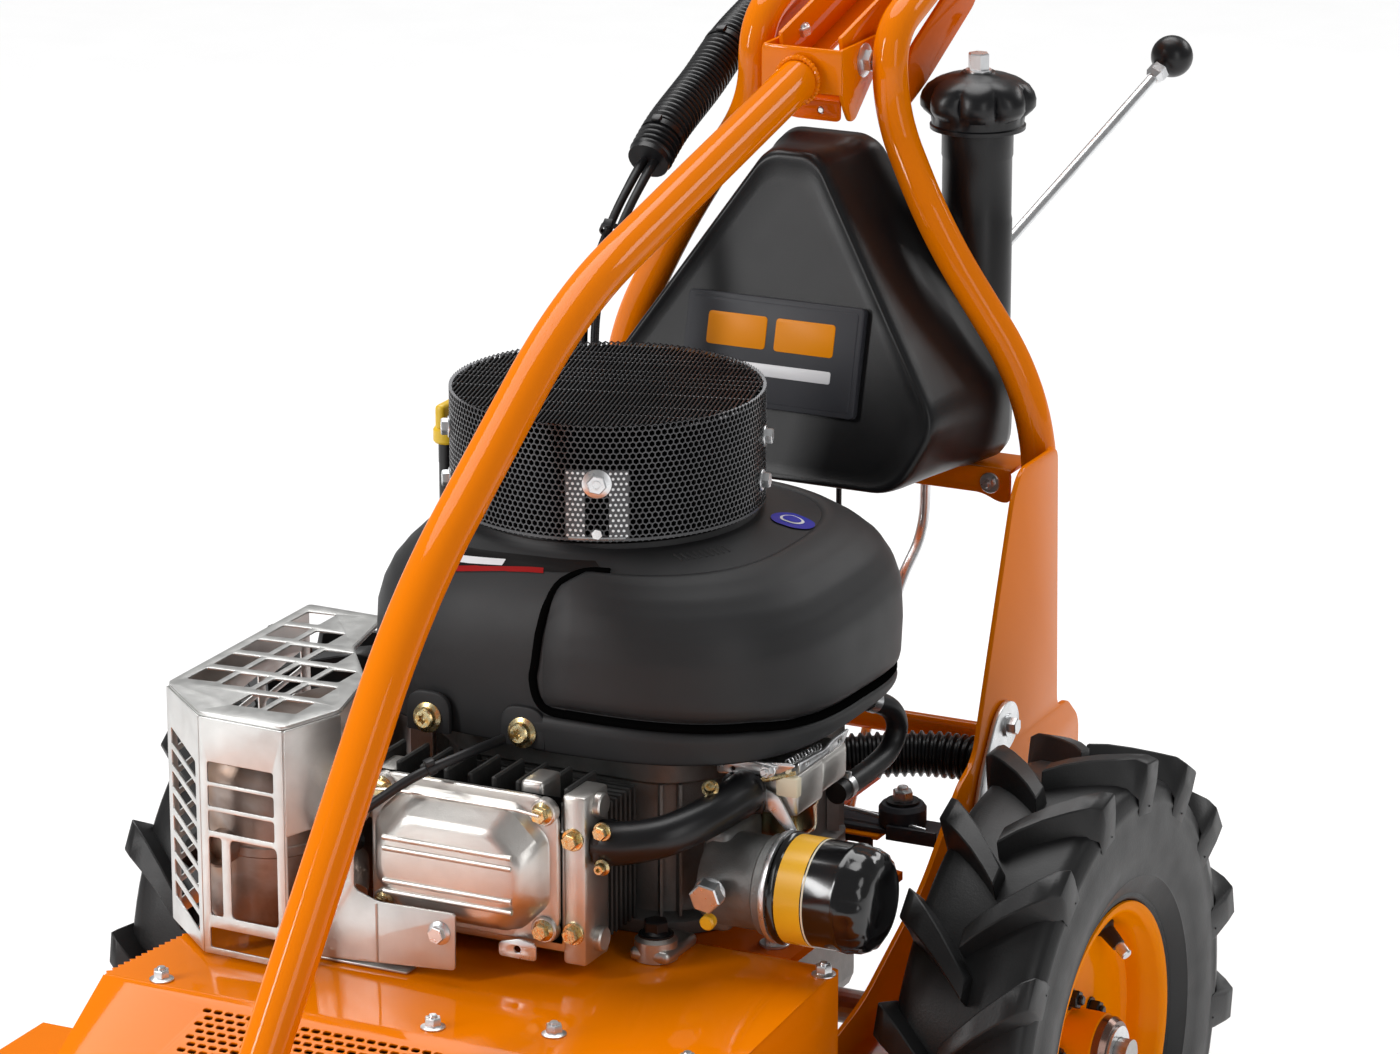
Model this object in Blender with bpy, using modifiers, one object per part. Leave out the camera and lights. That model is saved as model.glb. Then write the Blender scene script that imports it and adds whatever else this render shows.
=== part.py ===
"""Single-axle brush mower: drive wheels, front castor, belt-driven cutter deck and vertical-shaft engine.

Metres, +Z up, machine front towards -Y, machine left towards +X, wheels standing on Z = 0.
Every piece is placed in the axle frame, whose Y = 0 is the rear axle. The empty "machine" carries that
frame to the middle of the object's footprint.
"""

import math

import bmesh
import bpy
from mathutils import Matrix, Vector

# ---- driving dimensions -------------------------------------------------------------------------------
FRAME_Y = 0.1630  # rear axle's distance behind the middle of the footprint

WHEEL_RADIUS = 0.213  # tyre with its lugs
WHEEL_WIDTH = 0.107
RIM_RADIUS = 0.108
TRACK_HALF = 0.2965
AXLE_RADIUS = 0.0125
AXLE_END_X = 0.352

SIDE_X = 0.189  # inner face of a side plate
SIDE_THICK = 0.005

DECK_TOP = 0.200
DECK_BOTTOM = 0.060
DECK_HALF = 0.380
DECK_BACK = -0.250
DECK_TONGUE = (0.186, -0.2085)  # half width and back edge of the part between the wheels
DECK_FRONT = -0.930
SHEET = 0.003
COVER_TOP = 0.330  # engine mounting plane

CRANK_Y = -0.105
SPINDLE_Y = -0.545
GEARBOX_PULLEY_Y = 0.100
CRANK_PULLEY_RADIUS = 0.045
BLADE_PULLEY_RADIUS = 0.060
GEARBOX_PULLEY_RADIUS = 0.050
BLADE_BELT_Z = (0.2145, 0.2305)
DRIVE_BELT_Z = (0.2625, 0.2785)
BELT_THICK = 0.009
BELT_STEPS = 14
CUTTER_HALF = 0.318

CASTOR_Y = -1.130
CASTOR_TRAIL = 0.040
CASTOR_RADIUS = 0.100

STRUT_RADIUS = 0.0155
TUBE_RADIUS = 0.0132
LEG_X = 0.172

SCREEN_RADIUS = 0.109
SCREEN_Z = (0.602, 0.684)
HOUSING_CENTRE = (0.015, -0.090)
HOUSING_HALF = (0.170, 0.160)

NECK_AT = (0.1025, 0.290)
NECK_RADIUS = 0.0265
NECK_TOP = 0.789
CAP_RADIUS = 0.041

HANDLE_PIVOT = (0.0, 0.245, 0.850)
HANDLE_HALF = 0.300
HANDLE_RADIUS = 0.0125
GRIP_RADIUS = 0.0170
GRIP_END_Y = 0.860

GAP = 0.0003  # room between pieces that touch

ORANGE = ((0.90, 0.21, 0.010), 0.28, 0.0)
ZINC = ((0.62, 0.62, 0.60), 0.35, 1.0)
ALUMINIUM = ((0.60, 0.59, 0.57), 0.42, 1.0)
STEEL = ((0.36, 0.35, 0.34), 0.40, 1.0)
BLACK_PLASTIC = ((0.020, 0.020, 0.022), 0.42, 0.0)
HOUSING_PLASTIC = ((0.045, 0.045, 0.048), 0.55, 0.0)
RUBBER = ((0.028, 0.028, 0.030), 0.75, 0.0)
BLACK_PAINT = ((0.012, 0.012, 0.013), 0.18, 0.0)
CAST_GREY = ((0.25, 0.25, 0.25), 0.50, 0.8)
EXHAUST = ((0.33, 0.24, 0.18), 0.45, 0.9)
YELLOW = ((0.75, 0.50, 0.03), 0.40, 0.0)

for old in list(bpy.data.objects):
    bpy.data.objects.remove(old)

PARTS = bpy.data.collections.new("brush_mower")
CUTTERS = bpy.data.collections.new("cutters")
bpy.context.scene.collection.children.link(PARTS)
bpy.context.scene.collection.children.link(CUTTERS)

FRAME = bpy.data.objects.new("machine", None)
FRAME.location = (0.0, FRAME_Y, 0.0)
PARTS.objects.link(FRAME)

TURN = {
    "X": Matrix(((0, 0, 1), (1, 0, 0), (0, 1, 0))).to_4x4(),
    "Y": Matrix(((1, 0, 0), (0, 0, -1), (0, 1, 0))).to_4x4(),
    "Z": Matrix.Identity(4),
}


# ---- tools --------------------------------------------------------------------------------------------
def material_for(name, finish):
    """The Principled material of one sub-part."""
    colour, roughness, metallic = finish
    made = bpy.data.materials.new(name)
    made.use_nodes = True
    shader = made.node_tree.nodes["Principled BSDF"]
    shader.inputs["Base Color"].default_value = (*colour, 1.0)
    shader.inputs["Roughness"].default_value = roughness
    shader.inputs["Metallic"].default_value = metallic
    return made


def add(name, data, finish, pivot=(0.0, 0.0, 0.0)):
    """Puts a mesh or curve made in the axle frame into the part, with its origin on its pivot."""
    obj = bpy.data.objects.new(name, data)
    data.transform(Matrix.Translation(-Vector(pivot)))
    obj.location = pivot
    obj.parent = FRAME
    data.materials.append(material_for(name, finish))
    PARTS.objects.link(obj)
    return obj


def mesh_of(bm, name="shape"):
    bmesh.ops.recalc_face_normals(bm, faces=bm.faces)
    mesh = bpy.data.meshes.new(name)
    bm.to_mesh(mesh)
    bm.free()
    mesh.shade_smooth()
    mesh.set_sharp_from_angle(angle=math.radians(35))
    return mesh


def box(low, high):
    bm = bmesh.new()
    low, high = Vector(low), Vector(high)
    size = high - low
    place = Matrix.Translation((low + high) / 2) @ Matrix.Diagonal((*size, 1.0))
    bmesh.ops.create_cube(bm, size=1.0, matrix=place)
    return mesh_of(bm)


def rod(radius, start, end, segments=24):
    """A cylinder between two points."""
    start, end = Vector(start), Vector(end)
    along = end - start
    place = Matrix.Translation((start + end) / 2) @ along.to_track_quat("Z", "Y").to_matrix().to_4x4()
    bm = bmesh.new()
    bmesh.ops.create_cone(
        bm,
        cap_ends=True,
        segments=segments,
        radius1=radius,
        radius2=radius,
        depth=along.length,
        matrix=place,
    )
    return mesh_of(bm)


def evaluated_mesh(obj):
    """The object's mesh with its modifiers applied, and the object removed."""
    bpy.context.view_layer.update()
    graph = bpy.context.evaluated_depsgraph_get()
    mesh = bpy.data.meshes.new_from_object(obj.evaluated_get(graph))
    mesh.transform(obj.matrix_world)
    bpy.data.objects.remove(obj)
    bm = bmesh.new()
    bm.from_mesh(mesh)
    bmesh.ops.remove_doubles(bm, verts=bm.verts, dist=1e-6)
    bm.to_mesh(mesh)
    bm.free()
    mesh.materials.clear()
    return mesh


def turned(profile, axis="Z", at=(0.0, 0.0, 0.0), steps=32):
    """A closed profile of (radius, height) points, outer side first and downwards, spun about an axis."""
    bm = bmesh.new()
    points = [bm.verts.new((radius, 0.0, height)) for radius, height in profile]
    for here, after in zip(points, points[1:] + points[:1]):
        bm.edges.new((here, after))
    mesh = bpy.data.meshes.new("profile")
    bm.to_mesh(mesh)
    bm.free()
    obj = bpy.data.objects.new("profile", mesh)
    PARTS.objects.link(obj)
    screw = obj.modifiers.new("spin", "SCREW")
    screw.steps = screw.render_steps = steps
    screw.use_merge_vertices = True
    screw.merge_threshold = 1e-6
    made = evaluated_mesh(obj)
    made.transform(Matrix.Translation(at) @ TURN[axis])
    bm = bmesh.new()
    bm.from_mesh(made)
    return mesh_of(bm)


def plate(outline, thickness, normal="Z", at=(0.0, 0.0, 0.0), holes=()):
    """A flat outline with round holes (x, y, radius), its thickness centred on the plane through at."""
    data = bpy.data.curves.new("outline", "CURVE")
    data.dimensions = "2D"
    data.fill_mode = "BOTH"
    data.extrude = thickness / 2
    rings = [outline]
    for x, y, radius in holes:
        turn = [math.tau * i / 24 for i in range(24)]
        rings.append([(x + radius * math.cos(t), y + radius * math.sin(t)) for t in turn])
    for ring in rings:
        spline = data.splines.new("POLY")
        spline.points.add(len(ring) - 1)
        spline.use_cyclic_u = True
        for point, (x, y) in zip(spline.points, ring):
            point.co = (x, y, 0.0, 1.0)
    obj = bpy.data.objects.new("outline", data)
    PARTS.objects.link(obj)
    made = evaluated_mesh(obj)
    made.transform(Matrix.Translation(at) @ TURN[normal])
    bm = bmesh.new()
    bm.from_mesh(made)
    return mesh_of(bm)


def rounded(points, radius, steps=5):
    """A route of straight runs whose corners are arcs that start at most radius before them."""
    points = [Vector(p) for p in points]
    route = [points[0]]
    for before, corner, after in zip(points, points[1:], points[2:]):
        reach = min(radius, (before - corner).length * 0.45, (after - corner).length * 0.45)
        start = corner + (before - corner).normalized() * reach
        end = corner + (after - corner).normalized() * reach
        for i in range(steps + 1):
            t = i / steps
            route.append((1 - t) ** 2 * start + 2 * t * (1 - t) * corner + t**2 * end)
    route.append(points[-1])
    return route


def smooth_route(points, each=4):
    """A Catmull-Rom curve through hand-set points."""
    points = [Vector(p) for p in points]
    padded = [2 * points[0] - points[1], *points, 2 * points[-1] - points[-2]]
    route = []
    for a, b, c, d in zip(padded, padded[1:], padded[2:], padded[3:]):
        for i in range(each):
            t = i / each
            cubic = (2 * a - 5 * b + 4 * c - d) * t**2 + (3 * b - a - 3 * c + d) * t**3
            route.append(0.5 * (2 * b + (c - a) * t + cubic))
    route.append(points[-1])
    return route


def pipe(route, radius, resolution=2):
    """A capped round tube along a route."""
    data = bpy.data.curves.new("route", "CURVE")
    data.dimensions = "3D"
    data.bevel_depth = radius
    data.bevel_resolution = resolution
    data.use_fill_caps = True
    spline = data.splines.new("POLY")
    spline.points.add(len(route) - 1)
    for point, place in zip(spline.points, route):
        point.co = (*place, 1.0)
    return data


def helper(mesh, name):
    obj = bpy.data.objects.new(name, mesh)
    obj.parent = FRAME
    obj.hide_render = True
    obj.display_type = "WIRE"
    CUTTERS.objects.link(obj)
    return obj


def combine(obj, mesh, operation):
    """Cuts a mesh from a piece, or joins it on. Both are made in the axle frame."""
    step = obj.modifiers.new(operation.lower(), "BOOLEAN")
    step.operation = operation
    step.solver = "EXACT"
    step.object = helper(mesh, obj.name + "_" + operation.lower() + str(len(obj.modifiers)))


def cut(obj, *meshes):
    for mesh in meshes:
        combine(obj, mesh, "DIFFERENCE")


def join(obj, *meshes):
    for mesh in meshes:
        combine(obj, mesh, "UNION")


def soften(obj, width, segments=2):
    bevel = obj.modifiers.new("edges", "BEVEL")
    bevel.width = width
    bevel.segments = segments
    bevel.limit_method = "ANGLE"


def loft(rings, closed_ends=True):
    """A skin through rings with the same number of points each."""
    bm = bmesh.new()
    made = [[bm.verts.new(p) for p in ring] for ring in rings]
    for low, high in zip(made, made[1:]):
        for i in range(len(low)):
            j = (i + 1) % len(low)
            bm.faces.new((low[i], low[j], high[j], high[i]))
    if closed_ends:
        bm.faces.new(made[0][::-1])
        bm.faces.new(made[-1])
    return mesh_of(bm)


def shell(obj, thickness, offset=-1.0):
    solid = obj.modifiers.new("wall", "SOLIDIFY")
    solid.thickness = thickness
    solid.offset = offset
    solid.use_even_offset = True


# ---- deck, covers and frame -----------------------------------------------------------------------------
def make_deck():
    """Folded cutting chamber, open below, with the spindle hole and a low skirt."""
    plan = [
        (-DECK_HALF, DECK_BACK), (-DECK_HALF, -0.66), (-0.22, DECK_FRONT),
        (0.22, DECK_FRONT), (DECK_HALF, -0.66), (DECK_HALF, DECK_BACK),
        (DECK_TONGUE[0], DECK_BACK), DECK_TONGUE, (-DECK_TONGUE[0], DECK_TONGUE[1]),
        (-DECK_TONGUE[0], DECK_BACK),
    ]  # fmt: skip
    bm = bmesh.new()
    top = [bm.verts.new((x, y, DECK_TOP)) for x, y in plan]
    low = [bm.verts.new((x, y, DECK_BOTTOM)) for x, y in plan]
    bm.faces.new(top)
    for i in range(len(plan)):
        j = (i + 1) % len(plan)
        if plan[i][1] == plan[j][1] == DECK_FRONT:
            continue  # the flap closes the front
        bm.faces.new((top[i], low[i], low[j], top[j]))
    deck = add("mower_deck", mesh_of(bm), ORANGE)
    shell(deck, SHEET, offset=-1.0)
    cut(deck, rod(0.021, (0, SPINDLE_Y, 0.1), (0, SPINDLE_Y, 0.3)))
    flap_hinge = (0.0, DECK_FRONT - 0.007, 0.190)
    flap = box((-0.215, DECK_FRONT - 0.009, 0.072), (0.215, DECK_FRONT - 0.005, 0.196))
    add("front_flap", flap, ORANGE, flap_hinge)


def make_belt_cover():
    """Sheet cover over both belts, flat under the engine's front and sloping down to the deck."""
    rows = [
        # y, left x, right x, top z
        (-0.2055, -0.186, 0.222, COVER_TOP),
        (-0.4300, -0.213, 0.236, COVER_TOP),
        (-0.6700, -0.190, 0.205, 0.224),
    ]
    foot = DECK_TOP + GAP
    bm = bmesh.new()
    tops = [(bm.verts.new((l, y, z)), bm.verts.new((r, y, z))) for y, l, r, z in rows]
    feet = [(bm.verts.new((l - 0.006, y, foot)), bm.verts.new((r + 0.001, y, foot))) for y, l, r, z in rows]
    for i in range(len(rows) - 1):
        bm.faces.new((tops[i][0], tops[i][1], tops[i + 1][1], tops[i + 1][0]))
        bm.faces.new((tops[i][0], tops[i + 1][0], feet[i + 1][0], feet[i][0]))
        bm.faces.new((tops[i][1], feet[i][1], feet[i + 1][1], tops[i + 1][1]))
    bm.faces.new((tops[-1][0], tops[-1][1], feet[-1][1], feet[-1][0]))
    cover = add("belt_cover", mesh_of(bm), ORANGE)
    shell(cover, 0.002)


def make_frame():
    plan = [
        (-0.186, -0.205), (0.186, -0.205), (0.186, -0.020), (0.132, -0.006), (0.086, 0.100), (0.086, 0.165),
        (-0.086, 0.165), (-0.086, 0.100), (-0.132, -0.006), (-0.186, -0.020),
    ]  # fmt: skip
    crank_hole = (0, CRANK_Y, 0.030)
    add("engine_plate", plate(plan, 0.006, "Z", (0, 0, COVER_TOP - 0.003), holes=[crank_hole]), ORANGE)
    side = [
        (-0.205, 0.150), (0.060, 0.145), (0.285, 0.170), (0.285, 0.352), (0.262, 0.372), (0.242, 0.372),
        (0.234, 0.574), (0.168, 0.574), (0.154, 0.558), (0.0905, 0.3786), (0.064, 0.368), (0.001, 0.312),
        (-0.100, 0.262), (-0.205, 0.240),
    ]  # fmt: skip
    tube = rounded(
        [
            (LEG_X, 0.262, 0.200), (LEG_X, 0.249, 0.602), (0.100, 0.2240, 0.7255),
            (0.0545, 0.2440, 0.802), (0.053, 0.2400, 0.864), (0.053, 0.370, 0.909),
        ],
        0.055,
    )  # fmt: skip
    for name, sign in (("left", 1), ("right", -1)):
        x = sign * (SIDE_X + SIDE_THICK / 2)
        axle_hole = (0, WHEEL_RADIUS, 0.018)
        add("side_plate_" + name, plate(side, SIDE_THICK, "X", (x, 0, 0), holes=[axle_hole]), ORANGE)
        route = [(sign * p.x, p.y, p.z) for p in tube]
        add("rear_tube_" + name, pipe(route, TUBE_RADIUS), ORANGE)
    cross_end = SIDE_X - 0.001
    add("lower_cross_tube", rod(0.009, (-cross_end, 0.188, 0.362), (cross_end, 0.188, 0.362), 16), ORANGE)
    angle = [(0.237, 0.524), (0.241, 0.524), (0.241, 0.5455), (0.280, 0.5455), (0.280, 0.5495),
             (0.237, 0.5495)]
    add("tank_crossbar", plate(angle, 2 * 0.155, "X"), ORANGE)


def make_strut():
    route = rounded(
        [
            (0, 0.199, 0.833), (0, -0.1592, 0.7506), (0, -0.386, 0.6052), (0, -0.694, 0.2295),
            (0, CASTOR_Y + 0.0265, 0.2295),
        ],
        0.070,
    )  # fmt: skip
    add("front_strut", pipe(route, STRUT_RADIUS), ORANGE)
    u = [
        (-0.047, 0.2045), (0.047, 0.2045), (0.047, 0.285), (0.043, 0.285), (0.043, 0.2085),
        (-0.043, 0.2085), (-0.043, 0.285), (-0.047, 0.285),
    ]  # fmt: skip
    u = [(x * 0.68, y) for x, y in u]
    add("head_bracket", plate(u, 0.056, "Z", (0, 0, 0.828)), ORANGE)
    ring = [(0.026, 0.285), (0.026, 0.212), (0.0155, 0.212), (0.0155, 0.285)]
    add("castor_head", turned(ring, "Z", (0, CASTOR_Y, 0), 24), ORANGE)


# ---- wheels -------------------------------------------------------------------------------------------
def make_wheels():
    half = WHEEL_WIDTH / 2
    tyre = [
        (RIM_RADIUS + 0.003, half - 0.014), (0.130, half - 0.004), (0.165, half), (0.198, half - 0.006),
        (WHEEL_RADIUS, half - 0.022), (WHEEL_RADIUS, -half + 0.022), (0.198, -half + 0.006),
        (0.165, -half), (0.130, -half + 0.004), (RIM_RADIUS + 0.003, -half + 0.014),
    ]  # fmt: skip
    rim = [
        (RIM_RADIUS, 0.039), (0.100, 0.037), (0.100, -0.037), (RIM_RADIUS, -0.039),
        (RIM_RADIUS - 0.003, -0.041), (0.096, -0.040), (0.096, -0.006), (0.070, 0.004), (0.030, 0.004),
        (0.028, -0.038), (0.0135, -0.038), (0.0135, 0.036), (0.028, 0.036), (0.030, 0.009), (0.072, 0.009),
        (0.096, 0.000), (0.096, 0.040), (RIM_RADIUS - 0.003, 0.041),
    ]  # fmt: skip
    for name, sign in (("left", 1), ("right", -1)):
        centre = (sign * TRACK_HALF, 0.0, WHEEL_RADIUS)
        flipped = [(r, -sign * h) for r, h in rim][:: -1 if sign > 0 else 1]
        add("tyre_" + name, turned(tyre, "X", centre, 32), RUBBER, centre)
        add("rim_" + name, turned([(r, -h) for r, h in flipped], "X", centre, 24), ORANGE, centre)
        start = (sign * 0.0310, 0, WHEEL_RADIUS)
        end = (sign * AXLE_END_X, 0, WHEEL_RADIUS)
        add("axle_" + name, rod(AXLE_RADIUS, start, end, 20), STEEL, centre)


def make_castor():
    pivot = (0, CASTOR_Y, 0.25)
    wheel = (0, CASTOR_Y + CASTOR_TRAIL, CASTOR_RADIUS)
    fork = add("castor_fork", rod(0.014, (0, CASTOR_Y, 0.205), (0, CASTOR_Y, 0.293), 20), BLACK_PAINT, pivot)
    arm = [(-0.020, 0.211), (0.024, 0.211), (0.056, 0.098), (0.052, 0.086), (0.028, 0.086), (0.020, 0.100)]
    arm = [(CASTOR_Y + y, z) for y, z in arm]
    crown = box((-0.042, CASTOR_Y - 0.022, 0.2055), (0.042, CASTOR_Y + 0.026, 0.2115))
    pin = rod(0.007, (-0.044, wheel[1], wheel[2]), (0.044, wheel[1], wheel[2]), 16)
    join(fork, crown, plate(arm, 0.005, "X", (0.0395, 0, 0)), plate(arm, 0.005, "X", (-0.0395, 0, 0)), pin)
    tyre = [
        (0.062, 0.020), (0.080, 0.025), (0.095, 0.020), (CASTOR_RADIUS, 0.008), (CASTOR_RADIUS, -0.008),
        (0.095, -0.020), (0.080, -0.025), (0.062, -0.020),
    ]  # fmt: skip
    hub = [(0.0610, 0.018), (0.0610, -0.018), (0.022, -0.012), (0.020, -0.032), (0.0075, -0.032),
           (0.0075, 0.032), (0.020, 0.032), (0.022, 0.012)]  # fmt: skip
    add("castor_tyre", turned(tyre, "X", wheel, 32), RUBBER, wheel)
    add("castor_rim", turned(hub, "X", wheel, 24), BLACK_PLASTIC, wheel)


# ---- drive line ---------------------------------------------------------------------------------------
def grooved(radius, z_low, z_high):
    """The outer side of one V pulley groove, downwards."""
    rim = radius + BELT_THICK + 0.003
    return [
        (rim, z_high + 0.004), (rim, z_high + 0.001), (radius, z_high),
        (radius, z_low), (rim, z_low - 0.001), (rim, z_low - 0.004),
    ]  # fmt: skip


def belt(centre_a, radius_a, centre_b, radius_b, heights):
    """A closed belt round two pulleys whose axes are parallel to Z and lie on X = 0."""

    def loop(grow):
        ra, rb = radius_a + grow, radius_b + grow
        apart = abs(centre_b - centre_a)
        side = 1 if centre_b > centre_a else -1
        touch = math.acos((ra - rb) / apart)
        points = []
        for i in range(BELT_STEPS + 1):
            t = touch + (math.tau - 2 * touch) * i / BELT_STEPS
            points.append((ra * math.cos(t), ra * math.sin(t)))
        for i in range(BELT_STEPS + 1):
            t = -touch + 2 * touch * i / BELT_STEPS
            points.append((apart + rb * math.cos(t), rb * math.sin(t)))
        return [(-side * y, centre_a + side * x) for x, y in points]

    inner = loop(4 * GAP)
    outer = loop(BELT_THICK)
    low, high = heights
    rings = [
        [(x, y, low + GAP) for x, y in inner],
        [(x, y, low + GAP) for x, y in outer],
        [(x, y, high - GAP) for x, y in outer],
        [(x, y, high - GAP) for x, y in inner],
    ]
    rings.append(rings[0])
    bm = bmesh.new()
    made = [[bm.verts.new(p) for p in ring] for ring in rings[:-1]]
    made.append(made[0])
    for a, b in zip(made, made[1:]):
        for i in range(len(a)):
            j = (i + 1) % len(a)
            bm.faces.new((a[i], a[j], b[j], b[i]))
    return mesh_of(bm)


def make_drive():
    crank = (0, CRANK_Y, 0)
    profile = [
        (0.0125, 0.545), (0.0125, 0.290),
        *grooved(CRANK_PULLEY_RADIUS, *DRIVE_BELT_Z), *grooved(CRANK_PULLEY_RADIUS, *BLADE_BELT_Z),
        (0.0, BLADE_BELT_Z[0] - 0.005), (0.0, 0.545),
    ]  # fmt: skip
    add("crankshaft", turned(profile, "Z", crank, 24), STEEL, crank)
    fan = [(0.100, 0.535), (0.100, 0.500), (0.040, 0.490), (0.0128, 0.490), (0.0128, 0.535)]
    add("flywheel_fan", turned(fan, "Z", crank, 32), CAST_GREY, crank)

    spindle = (0, SPINDLE_Y, 0)
    profile = [
        (0.0125, 0.239), *grooved(BLADE_PULLEY_RADIUS, *BLADE_BELT_Z), (0.0125, 0.2085), (0.0125, 0.096),
        (0.022, 0.096), (0.022, 0.0905), (0.0, 0.0905), (0.0, 0.239),
    ]  # fmt: skip
    add("blade_spindle", turned(profile, "Z", spindle, 24), STEEL, spindle)
    sleeve = [(0.036, 0.1965), (0.036, 0.175), (0.026, 0.165), (0.026, 0.100), (0.0128, 0.100),
              (0.0128, 0.1965)]
    add("spindle_housing", turned(sleeve, "Z", spindle, 24), CAST_GREY)
    bar = [
        (-CUTTER_HALF, 0.010), (-CUTTER_HALF, -0.028), (-0.22, -0.034), (0.22, -0.034),
        (CUTTER_HALF, -0.010), (CUTTER_HALF, 0.028), (0.22, 0.034), (-0.22, 0.034),
    ]  # fmt: skip
    bar = [(x, y + SPINDLE_Y) for x, y in bar]
    add("cutter_bar", plate(bar, 0.008, "Z", (0, 0, 0.0860)), STEEL, spindle)
    loop = belt(SPINDLE_Y, BLADE_PULLEY_RADIUS, CRANK_Y, CRANK_PULLEY_RADIUS, BLADE_BELT_Z)
    add("blade_belt", loop, RUBBER)

    case = add("gearbox", box((-0.065, -0.048, 0.155), (0.065, 0.178, 0.2500)), CAST_GREY)
    soften(case, 0.012)
    cut(case, rod(0.0135, (-0.1, 0, WHEEL_RADIUS), (0.1, 0, WHEEL_RADIUS)))
    top = (0, GEARBOX_PULLEY_Y, 0)
    profile = [
        *grooved(GEARBOX_PULLEY_RADIUS, *DRIVE_BELT_Z), (0.012, DRIVE_BELT_Z[0] - 0.005), (0.012, 0.2503),
        (0.0, 0.2503), (0.0, DRIVE_BELT_Z[1] + 0.004),
    ]  # fmt: skip
    add("gearbox_pulley", turned(profile, "Z", top, 24), STEEL, top)
    loop = belt(CRANK_Y, CRANK_PULLEY_RADIUS, GEARBOX_PULLEY_Y, GEARBOX_PULLEY_RADIUS, DRIVE_BELT_Z)
    add("drive_belt", loop, RUBBER)


# ---- engine -------------------------------------------------------------------------------------------
def housing_ring(share, height, grow, count=28):
    """One level of the blower housing: a squared oval that turns into the circle round the crank axis."""
    ring = []
    for i in range(count):
        t = math.tau * i / count
        c, s = math.cos(t), math.sin(t)
        power = 2 / 3
        x = HOUSING_CENTRE[0] + grow * HOUSING_HALF[0] * math.copysign(abs(c) ** power, c)
        y = HOUSING_CENTRE[1] + grow * HOUSING_HALF[1] * math.copysign(abs(s) ** power, s)
        round_x, round_y = 0.104 * c, CRANK_Y + 0.104 * s
        ring.append((x + (round_x - x) * share, y + (round_y - y) * share, height))
    return ring


def make_engine():
    base = COVER_TOP + GAP
    sump = [(-0.115, -0.160), (-0.060, -0.208), (0.095, -0.208), (0.128, -0.170), (0.128, 0.020),
            (0.080, 0.060), (-0.070, 0.060), (-0.115, 0.020)]  # fmt: skip
    case = add("crankcase", plate(sump, 0.130, "Z", (0, 0, base + 0.065)), CAST_GREY)
    cut(case, rod(0.0135, (0, CRANK_Y, 0.3), (0, CRANK_Y, 0.6)))
    barrel = add("cylinder_block", box((-0.078, -0.2685, 0.3420), (0.074, -0.2085, 0.4600)), CAST_GREY)
    soften(barrel, 0.006)
    head = add("cylinder_head", box((-0.086, -0.3050, 0.3400), (0.084, -0.2690, 0.4640)), ALUMINIUM)
    soften(head, 0.005)
    cover = add("valve_cover", box((-0.074, -0.3370, 0.3560), (0.066, -0.3055, 0.4580)), ALUMINIUM)
    soften(cover, 0.014, 3)

    levels = [(0.0, 0.465, 0.98), (0.0, 0.500, 1.0), (0.0, 0.540, 0.985), (0.06, 0.565, 0.94),
              (0.30, 0.585, 0.88), (0.70, 0.596, 0.80), (1.0, 0.600, 0.70)]  # fmt: skip
    rings = [housing_ring(share, height, grow) for share, height, grow in levels]
    housing = add("blower_housing", loft(rings, closed_ends=False), HOUSING_PLASTIC)
    shell(housing, 0.003)
    outer, top = SCREEN_RADIUS, SCREEN_Z[1]
    drum = [(outer, top - 0.004), (outer, SCREEN_Z[0]), (outer - 0.003, SCREEN_Z[0]),
            (outer - 0.003, top - 0.005),
            (0.0, top - 0.003), (0.0, top), (outer - 0.004, top)]  # fmt: skip
    add("intake_screen", turned(drum, "Z", (0, CRANK_Y, 0), 28), BLACK_PLASTIC)

    filter_can = [(0.0, 0.248), (0.033, 0.248), (0.038, 0.242), (0.039, 0.234), (0.039, 0.188),
                  (0.036, 0.182), (0.0, 0.182)]
    add("oil_filter", turned(filter_can, "X", (0, -0.212, 0.3840), 24), BLACK_PAINT)
    carb = add("carburettor", box((0.138, -0.1950, 0.4250), (0.186, -0.1050, 0.4570)), ALUMINIUM)
    soften(carb, 0.004)
    join(carb, rod(0.0245, (0.155, -0.150, 0.396), (0.155, -0.150, 0.430), 24))
    elbow = smooth_route([(0.0858, -0.285, 0.424), (0.1000, -0.285, 0.425), (0.125, -0.274, 0.430),
                          (0.143, -0.248, 0.437), (0.150, -0.215, 0.441), (0.150, -0.1985, 0.441)], 3)
    add("intake_manifold", pipe(elbow, 0.0155), BLACK_PLASTIC)
    hose = smooth_route([(0.163, -0.034, 0.4585), (0.171, -0.012, 0.446), (0.173, -0.003, 0.430),
                         (0.171, -0.012, 0.4155),
                         (0.170, -0.040, 0.4105), (0.170, -0.098, 0.4105)], 3)  # fmt: skip
    add("fuel_hose", pipe(hose, 0.0078), RUBBER)
    lead = smooth_route([(-0.096, -0.300, 0.400), (-0.100, -0.330, 0.412), (-0.075, -0.350, 0.430),
                         (-0.035, -0.330, 0.462),
                         (-0.010, -0.300, 0.474), (0.000, -0.262, 0.475)], 3)  # fmt: skip
    add("spark_plug_lead", pipe(lead, 0.0035), RUBBER)

    stem = (-0.166, -0.030)
    tube = rounded([(-0.1155 - 0.002, stem[1], 0.400), (-0.140, stem[1], 0.402), (*stem, 0.440),
                    (*stem, 0.600)], 0.02)
    add("dipstick_tube", pipe(tube, 0.0065), BLACK_PAINT)
    dipstick = add("dipstick", rod(0.0095, (*stem, 0.6003), (*stem, 0.622), 16), YELLOW, (*stem, 0.6))
    join(dipstick, box((stem[0] - 0.004, stem[1] - 0.013, 0.618), (stem[0] + 0.004, stem[1] + 0.013, 0.646)))


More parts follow.
